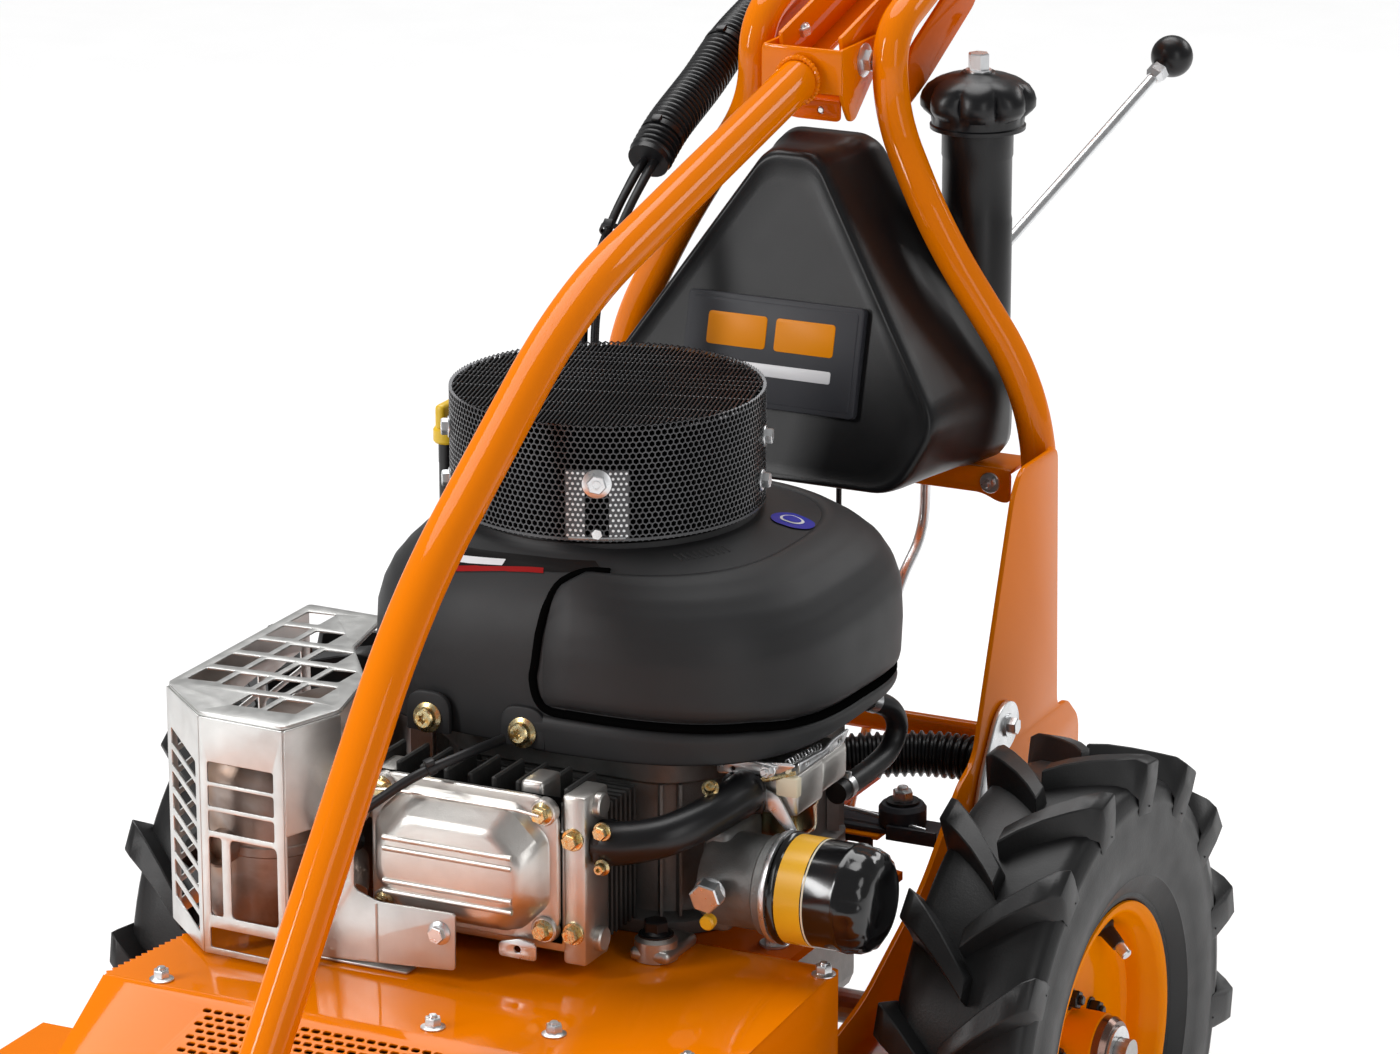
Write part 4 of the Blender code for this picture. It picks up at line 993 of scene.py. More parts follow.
def make_shift_lever():
    line = resampled(fillet(SHIFT_LEVER, 0.03, 8), 0.004)
    piece("shift_lever_bent", sweep(line, 0.0041, 18), ZINC, "shift_lever", ["shift_lever"])
    end, before = Vector(SHIFT_LEVER[-1]), Vector(SHIFT_LEVER[-2])
    along = (end - before).normalized()
    nut = [(0, -0.01), (0.0055, -0.01), (0.008, -0.006), (0.008, 0.0008), (0, 0.0008)]
    piece("shift_knob_nut", spin(nut, frame_at(end, along), 6), ZINC, "shift_lever", smooth=20)
    radius = 0.0164
    ball = [(0.0, -radius * 0.985), (0.007, -radius * 0.97), (0.0078, -radius * 0.9)]
    for i in range(4, 25):
        t = math.pi * i / 24
        if radius * math.sin(t) > 0.008:
            ball.append((radius * math.sin(t), -radius * math.cos(t)))
    ball += [(0.0052, radius * 0.955), (0.0, radius * 0.99)]
    piece(
        "shift_knob_ball", spin(ball, frame_at(end + along * 0.017, along), 40), BLACK,
        "shift_lever", ["shift_knob"], smooth=50)


def make_lock_lever():
    outline = arc_corners(
        [
            (0.118, 0.405), (0.135, 0.411), (0.152, 0.404), (0.158, 0.388), (0.148, 0.376), (0.118, 0.366),
            (0.098, 0.338), (0.086, 0.326), (0.078, 0.334), (0.092, 0.368)],
        0.01, 5)
    plate = sheet_metal(outline, 0.0036, facing_left(0.1953), [disc_hole(0.089, 0.34, 0.0028)], 0.0006)
    piece("lock_lever_plate", plate, ZINC, "lock_lever", ["lock_lever"])


# ---- engine -------------------------------------------------------------------------------------------
CRANK = (0.0, -0.105)
HOUSING_HALF = (0.17, 0.16)
HOUSING_SKIN, HOUSING_INSIDE = -0.0034, -0.0062  # how far under the CAD shape the moulding's two faces lie
CROWN_RADIUS = 0.1045
FRONT_EDGE, COVER_SWEEP = -89.5, 171.5  # the cover panel's start and reach, in degrees
HOUSING_CENTRE = (0.015, -0.09)
HOUSING_LEVELS = (
    # share of the way to the crown, height, growth
    (0.0, 0.465, 0.972), (0.0, 0.4665, 0.982), (0.0, 0.485, 0.992), (0.0, 0.51, 0.998), (0.0, 0.535, 0.99),
    (0.02, 0.55, 0.972), (0.06, 0.563, 0.945), (0.14, 0.573, 0.915), (0.26, 0.5815, 0.882),
    (0.42, 0.5885, 0.85), (0.62, 0.5945, 0.812), (0.82, 0.598, 0.77), (1.0, 0.5993, 0.705),
)


def housing_point(turn, level):
    """Where the blower housing's skin is, at one angle and a fractional level."""
    k = min(int(level), len(HOUSING_LEVELS) - 2)
    part = level - k
    share, z, grow = (a + (b - a) * part for a, b in zip(HOUSING_LEVELS[k], HOUSING_LEVELS[k + 1]))
    c, s = math.cos(turn), math.sin(turn)
    x = HOUSING_CENTRE[0] + HOUSING_HALF[0] * grow * math.copysign(abs(c) ** (2 / 3), c)
    y = HOUSING_CENTRE[1] + HOUSING_HALF[1] * grow * math.copysign(abs(s) ** (2 / 3), s)
    crown = (CRANK[0] + CROWN_RADIUS * c, CRANK[1] + CROWN_RADIUS * s)
    return Vector((x + (crown[0] - x) * share, y + (crown[1] - y) * share, z))


def housing_out(turn, level):
    here = housing_point(turn, level)
    around = housing_point(turn + 0.01, level) - here
    up = housing_point(turn, level + 0.05) - here
    return around.cross(up).normalized()


def on_housing(turn, level, lift):
    return housing_point(turn, level) + housing_out(turn, level) * lift


def make_housing():
    """Blower housing: main moulding, raised cover panel with painted shade in the gap round it, lower lip,
    decal and sticker.
    """
    steps = 168
    turns = [math.tau * i / steps for i in range(steps)]
    levels = [i * 0.5 for i in range(2 * (len(HOUSING_LEVELS) - 1) + 1)]
    outer = [[on_housing(t, v, HOUSING_SKIN if v > 0.6 else -0.003) for t in turns] for v in levels]
    inner = [[on_housing(t, v, HOUSING_INSIDE) for t in turns] for v in reversed(levels)]
    collar_out = [(CRANK[0] + 0.103 * math.cos(t), CRANK[1] + 0.103 * math.sin(t), 0.5998) for t in turns]
    collar_in = [(CRANK[0] + 0.099 * math.cos(t), CRANK[1] + 0.099 * math.sin(t), 0.596) for t in turns]
    shell = skin([*outer, collar_out, collar_in, *inner, outer[0]], start=False, end=False)
    piece("blower_housing_shell", shell, HOUSING, replaces=["blower_housing"], smooth=60)

    def panel(edge, thick, rim, roll):
        """A raised skin whose border follows edge(u) -> (turn, low level, high level), with rolled edges."""
        across, up = 84, 30
        grid = []
        for j in range(-1, up + 2):
            row = []
            for i in range(-1, across + 2):
                u, v = min(max(i / across, 0.0), 1.0), min(max(j / up, 0.0), 1.0)
                turn, low, high = edge(u)
                inner = min(u / roll[0], (1 - u) / roll[0], v / roll[1], (1 - v) / roll[1], 1.0)
                lift = math.sqrt(max(0.0, 1 - (1 - inner) ** 2))
                sunk = -0.005 if i in (-1, across + 1) or j in (-1, up + 1) else 0.0
                row.append(on_housing(turn, low + (high - low) * v, rim + (thick - rim) * lift + sunk))
            grid.append(row)
        return skin(grid, around=False, start=False, end=False)

    def cover_edge(u):
        low = 2.5 - 0.6 * u - 1.6 * max(0.0, u - 0.3)
        return math.radians(
            FRONT_EDGE + COVER_SWEEP * u
        ), low, 6.6 + 2.3 * math.sqrt(min(1.0, u / 0.05)) - 0.3 * max(0.0, u - 0.6)

    cover = panel(cover_edge, 0.0012, HOUSING_SKIN, (0.014, 0.07))
    piece("blower_cover_panel", cover, HOUSING, smooth=60)

    def lip_edge(u):
        turn = -92 + 178 * u
        bottom = cover_edge(min(1.0, max(0.0, (turn - FRONT_EDGE) / COVER_SWEEP)))[1]
        return math.radians(turn), 0.0, bottom - 0.28

    piece(
        "blower_lower_lip", panel(lip_edge, 0.0006, -0.003, (0.01, 0.16)), HOUSING,
        smooth=60)

    # painted shade in the gap round the cover panel, a near-black tube: down its front edge, then along its
    # foot
    corner = [
        (-74, 8.95), (-80, 8.85), (-85, 8.4), (-88.2, 7.6), (-89.4, 6.4), (-89.8, 5.0), (-89.9, 4.0),
        (-90.0, 3.2), (-89.8, 2.62), (-89.0, 2.38), (-87.0, 2.33)]
    joint = [
        on_housing(math.radians(p.x), p.y, -0.0031)
        for p in flowing([(turn, level, 0.0) for turn, level in corner], 6)]
    foot = []
    for i in range(70):
        turn, low, _ = cover_edge(0.015 + 0.985 * i / 69)
        foot.append(on_housing(turn, low - 0.15, -0.003))
    piece("blower_gap_shade_line", merged(sweep(joint, 0.003, 10), sweep(foot, 0.0031, 10)), DARK)

    def film(first, last, low, high, lift):
        """A thin printed patch lying on the housing. low and high are the levels of its two ends."""
        grid = []
        for j in range(9):
            row = []
            for i in range(29):
                u = i / 28
                start, end = low[0] + (low[1] - low[0]) * u, high[0] + (high[1] - high[0]) * u
                row.append(
                    on_housing(math.radians(first + (last - first) * u), start + (end - start) * j / 8, lift))
            grid.append(row)
        return skin(grid, around=False, start=False, end=False)

    piece("decal_field", film(-122, -76, (6.7, 9.15), (9.0, 9.8), -0.0029), DECAL)
    piece("decal_stripe", film(-120, -90, (6.85, 8.25), (7.25, 8.65), -0.0027), DECAL_RED)
    piece("decal_bar", film(-116, -98, (7.75, 8.35), (8.35, 8.85), -0.0027), WHITE)

    def sticker(size, lift):
        middle_turn, middle_level = math.radians(12), 9.9
        centre = on_housing(middle_turn, middle_level, lift)
        ring = []
        for i in range(40):
            t = math.tau * i / 40
            ring.append(on_housing(
            middle_turn + 0.115 * size * math.cos(t), middle_level + 1.0 * size * math.sin(t), lift))
        points = [centre, *ring]
        return points, [[0, 1 + i, 1 + (i + 1) % 40] for i in range(40)]

    piece("round_sticker", sticker(1.0, -0.0024), BLUE)
    piece("round_sticker_middle", sticker(0.55, -0.0021), WHITE)
    piece("round_sticker_core", sticker(0.42, -0.0018), BLUE)

    ribs = []
    for i in range(9):
        turn = math.radians(-44 + 2.6 * i)
        ribs.append(sweep([on_housing(turn, 9.9 + 0.11 * k, -0.0034) for k in range(7)], 0.0008, 8))
    piece("housing_small_ribs", merged(*ribs), HOUSING)

    ears, bolts = [], []
    for x in (-0.064, 0.008):
        y = HOUSING_CENTRE[1] - HOUSING_HALF[1] * 0.984
        ears.append(prism(
            arc_corners(
                [(x - 0.0165, 0.4665), (x + 0.0165, 0.4665), (x + 0.0165, 0.495), (x - 0.0165, 0.495)],
                [0.002, 0.002, 0.0155, 0.0155], 8),
        0.0, 0.0044, facing_front(y + 0.003), 0.0012, 2))
        bolts.append(torx_bolt((x, y - 0.0014, 0.477), (0.0, -1, 0.12), 0.0105))
    piece("blower_ears", merged(*ears), HOUSING)
    return bolts


def make_drum():
    """Intake screen: honeycomb wire round the side, close-set ribs across the top, and a near-black drum
    within that paints the shade inside the screen.
    """
    centre = Matrix.Translation((CRANK[0], CRANK[1], 0))
    # a solid near-black drum: painted shade seen through the screen
    radius, low, high = 0.1082, 0.603, 0.6835
    core = spin(
        [(0, low), (radius - 0.003, low), (radius - 0.003, high - 0.003), (0, high - 0.003)], steps=96)
    piece("drum_shade_core", moved(core, centre), DARK, replaces=["intake_screen"])

    # honeycomb band: each cell is a hexagonal frame wrapped round the drum
    rows = 21
    tall = (high - low - 0.001) / rows
    cell = tall / 1.5
    columns = round(math.tau * radius / (cell * math.sqrt(3)))
    points, faces = [], []
    for row in range(rows):
        for column in range(columns):
            middle = math.tau * (column + 0.5 * (row % 2)) / columns
            v = low + (row + 0.5) * tall
            start = len(points)
            for share, lift in ((1.0, 0.0), (0.8, 0.0), (0.74, -0.0022)):
                for k in range(6):
                    t = math.tau * k / 6 + math.pi / 6
                    turn = middle + cell * share * math.cos(t) / radius
                    size = radius + lift
                    points.append(Vector((
                        size * math.cos(turn), size * math.sin(turn),
                    min(v + cell * share * math.sin(t), high - 0.0002))))
            for k in range(6):
                j = (k + 1) % 6
                faces.append([start + k, start + j, start + 6 + j, start + 6 + k])
                faces.append([start + 6 + k, start + 6 + j, start + 12 + j, start + 12 + k])
    piece("drum_honeycomb", moved((points, faces), centre), MESH_BLACK, smooth=20)

    # ribs across the top, all one way, each a low rounded bar
    ribs = []
    along = Vector((-0.25, 0.97, 0)).normalized()
    side = Vector((along.y, -along.x, 0))
    pitch = 0.0031
    count = int(2 * (radius - 0.003) / pitch)
    for i in range(count):
        offset = (i - (count - 1) / 2) * pitch
        reach = math.sqrt(max(0.0, (radius - 0.0022) ** 2 - offset**2))
        if reach < 0.006:
            continue
        a, b = side * offset - along * reach, side * offset + along * reach
        ribs.append(sweep(
            [(a.x, a.y, high - 0.0019), (b.x, b.y, high - 0.0019)], 1.0,
        section=[(x * 0.00085, y * 0.0011) for x, y in circle(1.0, 6)]))
    for i in range(20):
        offset = (i - 9.5) * 0.0108
        reach = math.sqrt(max(0.0, (radius - 0.0022) ** 2 - offset**2))
        a, b = along * offset - side * reach, along * offset + side * reach
        ribs.append(sweep([(a.x, a.y, high - 0.0027), (b.x, b.y, high - 0.0027)], 0.0006, 6))
    piece("drum_top_ribs", moved(merged(*ribs), centre), MESH_BLACK, smooth=60)
    level, inside, outside = low + 0.001, radius - 0.0016, radius + 0.0003
    rim = [
        (inside, level - 0.0011), (outside, level - 0.0009), (outside, level + 0.0009),
        (inside, level + 0.001)]
    piece("drum_rims", moved(spin(rim, steps=96, closed=True), centre), MESH_BLACK)

    # clamped patch of punched sheet at the front with its flange bolt and clip
    facing = math.radians(-67)
    size = 0.1086
    low, high, half = 0.605, 0.652, 0.0215

    def on_drum(u, v, lift=0.0):
        turn = facing + u / size
        return Vector(((size + lift) * math.cos(turn), (size + lift) * math.sin(turn), v))

    sheet = []
    for start, end, foot in ((-half, -0.008, low), (-0.008, 0.008, 0.636), (0.008, half, low)):
        columns = [start + (end - start) * i / 4 for i in range(5)]
        sheet.append(
            skin(
                [[on_drum(u, v) for u in columns] for v in (foot, high)], around=False, start=False, end=False
            ))
    piece("drum_patch", moved(merged(*sheet), centre), MESH_BLACK)
    dots = []
    for j in range(13):
        for i in range(12):
            u, v = (i - 5.5) * 0.0036 + (0.0018 if j % 2 else 0.0), low + 0.0018 + j * 0.0036
            if u > half - 0.001 or v > high - 0.001 or (abs(u) < 0.0085 and v < 0.6365):
                continue
            out = on_drum(u, v, 1.0) - on_drum(u, v)
            dots.append(
                spin([(0, 0), (0.00115, 0), (0.00095, 0.0003), (0, 0.0003)], frame_at(on_drum(u, v), out), 6))
    piece("drum_patch_dots", moved(merged(*dots), centre), ZINC)
    out = Vector((math.cos(facing), math.sin(facing), 0))
    metal = [hex_bolt(Vector((*CRANK, 0.643)) + out * 0.108, out, 0.012, 0.0034, flange=0.01, socket=True)]
    side = Vector((-out.y, out.x, 0))
    clip = [
        Vector((*CRANK, 0.6052)) + out * (0.1092 - 0.0016 * (k / 2) ** 2) + side * k * 0.0095
        for k in (-2, -1, 0, 1, 2)]
    metal.append(sweep(clip, 0.0013, 8))
    metal.append(hex_bolt(Vector((*CRANK, 0.6085)) + out * 0.1085, out, 0.007, 0.0026))
    for turn, z in ((17, 0.65), (12, 0.6215), (-150, 0.654), (-147, 0.619)):
        away = Vector((math.cos(math.radians(turn)), math.sin(math.radians(turn)), 0))
        metal.append(hex_bolt(Vector((*CRANK, z)) + away * 0.1074, away, 0.01, 0.005, washer=0.0075))
    piece("drum_fasteners", merged(*metal), ZINC)


def make_block(bolts):
    """Crankcase, finned barrel, head and ribbed valve cover, with their fasteners and brackets."""
    case = arc_corners(
        [
            (-0.115, -0.16), (-0.06, -0.208), (0.095, -0.208), (0.128, -0.17), (0.128, 0.02), (0.08, 0.06),
            (-0.07, 0.06), (-0.115, 0.02)],
        0.018, 5)

    def shrunk(outline, by):
        cx, cy = 0.006, -0.075
        made = []
        for x, y in outline:
            reach = math.hypot(x - cx, y - cy)
            made.append((cx + (x - cx) * (1 - by / reach), cy + (y - cy) * (1 - by / reach)))
        return made

    levels = (
        (0.0006, 0.3305), (0.0, 0.3315), (0.0, 0.34), (0.001, 0.3412), (0.009, 0.345), (0.01, 0.348),
        (0.0096, 0.43), (0.008, 0.436), (0.0004, 0.44), (0.0, 0.441), (0.0, 0.4585), (0.001, 0.4598))
    shapes = [skin([[(x, y, z) for x, y in shrunk(case, by)] for by, z in levels])]
    count = 46
    for i in range(1, count, 2):
        k = round(i * len(case) / count)
        a, b = Vector(shrunk(case, 0.01)[k % len(case)]), Vector(shrunk(case, 0.0012)[k % len(case)])
        out = (b - a).normalized()
        side = Vector((out.y, -out.x)) * 0.0016
        ring = [
            [(p.x, p.y, z) for p in (a - side, b - side * 0.6, b + side * 0.6, a + side)]
            for z in (0.344, 0.438)]
        shapes.append(skin(ring))
    piece("crankcase_ribbed", merged(*shapes), CAST_GREY, replaces=["crankcase"])

    # barrel: stacked fins round a core
    shapes = [block((-0.072, -0.2683, 0.346), (0.068, -0.2087, 0.432), 0.006, 3)]
    for i in range(9):
        y = -0.266 + i * 0.0068
        shapes.append(block((-0.0778, y - 0.0011, 0.3422), (0.0738, y + 0.0011, 0.438), 0.0009, 1))
    piece("barrel_fins", merged(*shapes), DARK_CAST, replaces=["cylinder_block"])

    # head: machined joint face, solid lower half, tall separate fins under the housing
    shapes = [
        block((-0.0855, -0.2765, 0.3405), (0.0835, -0.2694, 0.442), 0.003, 2),
        block((-0.079, -0.304, 0.348), (0.078, -0.275, 0.434), 0.004, 2)]
    fins = []
    for i in range(9):
        x = -0.078 + i * 0.018
        fins.append(block((x - 0.0019, -0.298, 0.43), (x + 0.0019, -0.256, 0.462), 0.0012, 1))
    piece("head_tall_fins", merged(*fins), DARK_CAST)
    shapes.append(block((-0.0855, -0.3046, 0.42), (-0.06, -0.27, 0.456), 0.004, 3))
    shapes.append(block((0.033, -0.3, 0.425), (0.05, -0.272, 0.464), 0.003, 3))
    shapes.append(block((0.066, -0.3046, 0.341), (0.0835, -0.27, 0.46), 0.003, 2))
    for z in (0.356, 0.45):
        shapes.append(spin(
            [(0, 0), (0.0085, 0), (0.0085, 0.0045), (0.0075, 0.0055), (0, 0.0055)],
        frame_at((0.083, -0.286, z), (1, 0, 0)), 24))
    piece("head_fins", merged(*shapes), ALUMINIUM, replaces=["cylinder_head"])

    # valve cover: flange with corner bosses, sloped sides with cut corners, two pairs of level ridges

    def cover_ring(inset, y, cut, lift=0.0):
        x0, x1, z0, z1 = -0.074 + inset, 0.066 - inset, 0.356 + inset, 0.458 - inset - lift
        outline = [
            (x0 + cut, z0), (x1 - cut, z0), (x1, z0 + cut), (x1, z1 - cut), (x1 - cut, z1), (x0 + cut, z1),
            (x0, z1 - cut), (x0, z0 + cut)]
        return [(x, y, z) for x, z in arc_corners(outline, 0.006, 3)]

    rings = [
        cover_ring(0.0, -0.3056, 0.012), cover_ring(0.0, -0.3092, 0.012), cover_ring(0.001, -0.31, 0.012),
        cover_ring(0.006, -0.3104, 0.022), cover_ring(0.007, -0.312, 0.022), cover_ring(0.0082, -0.32, 0.022),
        cover_ring(0.015, -0.331, 0.021, 0.004), cover_ring(0.0175, -0.3335, 0.02, 0.004),
        cover_ring(0.0215, -0.3345, 0.019, 0.004)]
    shapes = [skin(rings)]
    for z in (0.4215, 0.414, 0.391, 0.3835):
        shapes.append(sweep([(-0.052, -0.3338, z), (0.044, -0.3338, z)], 0.0022, 12))
    shapes.append(sweep(
        [(-0.066, -0.3215, 0.449), (-0.05, -0.322, 0.451), (0.042, -0.322, 0.451), (0.058, -0.3215, 0.449)],
    0.001, 8))
    for x, z in COVER_CORNERS:
        shapes.append(spin(
            [(0, 0.0), (0.0098, 0.0), (0.0092, 0.0058), (0.0082, 0.0066), (0, 0.0066)],
        frame_at((x, -0.3062, z), (0, -1, 0)), 28))
    piece("valve_cover_ridged", merged(*shapes), ALUMINIUM, replaces=["valve_cover"])
    gasket = block((-0.0745, -0.3064, 0.3556), (0.0665, -0.3052, 0.4584), 0.0005, 1)
    piece("cover_gasket", gasket, DARK)

    for x, z in COVER_CORNERS:
        bolts.append(hex_bolt((x, -0.3126, z), (0, -1, 0), 0.01, 0.0058, flange=0.0074))
    for x, z in ((0.0745, 0.43), (0.0745, 0.364), (-0.079, 0.442)):
        bolts.append(hex_bolt((x, -0.3046, z), (0, -1, 0), 0.01, 0.006, washer=0.0078))
    piece("engine_brass_fasteners", merged(*bolts), BRASS)

    # sheet bracket low on the left of the head with its dark rounded window
    outline = arc_corners(
        [
            (-0.103, 0.332), (0.0065, 0.34), (0.007, 0.38), (-0.052, 0.379), (-0.069, 0.385), (-0.069, 0.415),
            (-0.103, 0.415)],
        [0.002, 0.003, 0.003, 0.006, 0.004, 0.003, 0.003])
    window = arc_corners([(-0.096, 0.39), (-0.074, 0.39), (-0.074, 0.408), (-0.096, 0.408)], 0.004)
    plate = sheet_metal(outline, 0.002, facing_front(-0.3425), [window], 0.0004)
    foot = block((-0.103, -0.344, 0.3306), (-0.03, -0.33, 0.3326), 0.0008)
    fold = sweep([(-0.052, -0.3448, 0.336), (-0.052, -0.3448, 0.378)], 0.0008, 8)
    piece("shield_bracket", merged(plate, foot, fold), GALVANISED)
    zinc = [hex_bolt((-0.0045, -0.3446, 0.365), (0, -1, 0), 0.0105, 0.0055, flange=0.0082)]
    zinc.append(hex_bolt((-0.086, -0.306, 0.426), (0, -1, 0), 0.011, 0.007, washer=0.0085, tail=0.006))
    tab = sheet_metal(
        arc_corners([(0.024, 0.344), (0.052, 0.344), (0.052, 0.356), (0.04, 0.358), (0.024, 0.354)], 0.003),
        0.002, facing_front(-0.314), [disc_hole(0.038, 0.3505, 0.0026)], 0.0004)
    zinc.append(tab)
    piece("engine_zinc_fasteners", merged(*zinc), ZINC)

    # plug cap on the lead's low end and the clip that holds the lead to the cooling shroud
    boot = spin(
        [(0, -0.01), (0.0062, -0.01), (0.0066, 0.0), (0.006, 0.012), (0.0048, 0.016), (0, 0.016)],
        frame_at((-0.0965, -0.302, 0.401), (-0.13, -0.99, 0.35)), 22)
    clip = tie(resampled(flowing(PLUG_LEAD, 10), 0.003), 0.7, 0.0036, 0.006)
    piece("plug_boot", merged(boot, clip), RUBBER)


def make_intake():
    """Elbow with its bolted flanges, carburettor, float bowl, linkage and choke parts."""
    route = [
        (0.0858, -0.285, 0.424), (0.1, -0.285, 0.425), (0.125, -0.274, 0.43), (0.143, -0.248, 0.437),
        (0.15, -0.215, 0.441), (0.15, -0.1985, 0.441)]
    line = resampled(flowing(route, 10), 0.004)
    sizes = [0.0152 - 0.0016 * math.sin(math.pi * i / (len(line) - 1)) for i in range(len(line))]
    shapes = [sweep(line, sizes, 28)]
    flange = arc_corners([(-0.013, -0.015), (0.013, -0.015), (0.013, 0.015), (-0.013, 0.015)], 0.006, 5)
    shapes.append(prism(flange, 0.0, 0.005, frame_at((0.0862, -0.285, 0.424), (1, 0, 0), (0, 0, 1)), 0.001))
    shapes.append(prism(flange, -0.005, 0.0, frame_at((0.15, -0.1988, 0.441), (0, 1, 0), (0, 0, 1)), 0.001))
    shapes.append(sweep([(0.092, -0.2985, 0.424), (0.118, -0.2905, 0.428), (0.14, -0.266, 0.435)], 0.0022, 8))
    piece("intake_elbow", merged(*shapes), BLACK, replaces=["intake_manifold"])

    body = [
        block((0.139, -0.194, 0.426), (0.185, -0.15, 0.456), 0.004, 3),
        block((0.142, -0.15, 0.427), (0.183, -0.106, 0.455), 0.006, 3)]
    body.append(spin(
        [(0, 0.0), (0.0125, 0.0), (0.013, 0.004), (0.01, 0.006), (0, 0.006)],
    frame_at((0.155, -0.168, 0.443), (1, 0, 0)), 28))
    body.append(
        spin([(0.0, 0.4235), (0.0246, 0.4235), (0.0246, 0.429), (0, 0.429)], Matrix.Translation(BOWL_AT), 40))
    piece("carburettor_castings", merged(*body), ALUMINIUM, replaces=["carburettor"])
    bowl = [
        (0, 0.3962), (0.008, 0.3962), (0.009, 0.3985), (0.017, 0.399), (0.0218, 0.4015), (0.0228, 0.406),
        (0.023, 0.42), (0.0243, 0.4215), (0.0243, 0.424), (0, 0.424)]
    piece("float_bowl", spin(bowl, Matrix.Translation(BOWL_AT), 48), COPPER, smooth=50)

    plates = [sheet_metal(
        arc_corners(
            [(-0.19, 0.456), (-0.12, 0.456), (-0.11, 0.464), (-0.135, 0.464), (-0.15, 0.461), (-0.19, 0.464)],
            0.003),
        0.0018, facing_left(0.1835), [disc_hole(-0.178, 0.46, 0.0018), disc_hole(-0.128, 0.4602, 0.0018)],
    0.0003)]
    plates.append(sheet_metal(
        arc_corners(
            [(0.128, 0.451), (0.172, 0.4565), (0.186, 0.464), (0.182, 0.466), (0.15, 0.462), (0.128, 0.458)],
            0.003),
        0.0018, facing_front(-0.1968), [disc_hole(0.14, 0.456, 0.0018), disc_hole(0.166, 0.4595, 0.0018)],
    0.0003))
    plates.append(sheet_metal(
        arc_corners(
            [(0.15, 0.438), (0.164, 0.434), (0.186, 0.412), (0.19, 0.415), (0.174, 0.442), (0.156, 0.448)],
            0.003),
    0.0018, facing_front(-0.1978), [disc_hole(0.16, 0.4415, 0.0016)], 0.0003))
    plates.append(hex_bolt((0.1665, -0.199, 0.459), (0, -1, 0.1), 0.0075, 0.0045, washer=0.0055, tail=0.003))
    plates.append(sweep([(0.15, -0.1995, 0.464), (0.172, -0.1995, 0.4625), (0.176, -0.19, 0.46)], 0.0011, 8))
    spring = []
    for i in range(90):
        t = i / 89
        spring.append(Vector((
            0.176 + 0.0024 * math.cos(i * 0.75), -0.19 + 0.052 * t,
        0.4625 + 0.0024 * math.sin(i * 0.75) - 0.004 * t)))
    plates.append(sweep(spring, 0.0005, 6))
    piece("throttle_linkage", merged(*plates), ZINC)
    shaft = sweep([(0.15, -0.201, 0.449), (0.17, -0.201, 0.454), (0.185, -0.196, 0.459)], 0.0015, 10)
    bolts = [
        torx_bolt((0.142, -0.237, 0.4545), (0.25, -0.8, 0.55), 0.0058),
        torx_bolt((0.0935, -0.299, 0.412), (0, -1, 0), 0.0055)]
    bolts.append(hex_bolt((0.0935, -0.299, 0.437), (0, -1, 0), 0.0088, 0.005, washer=0.0064))
    piece("intake_brass_parts", merged(shaft, *bolts), BRASS)
    cream = [
        block((0.172, -0.2, 0.442), (0.188, -0.192, 0.456), 0.0016),
        sweep([(0.18, -0.1965, 0.456), (0.18, -0.1965, 0.461)], 0.0022, 10)]
    piece("choke_lever_blocks", merged(*cream), CREAM)

    hose = resampled(flowing(FUEL_HOSE, 10), 0.003)
    piece(
        "hose_clamps", merged(*[tie(hose, share, 0.0078, 0.007) for share in (0.05, 0.9)]), ZINC
    )


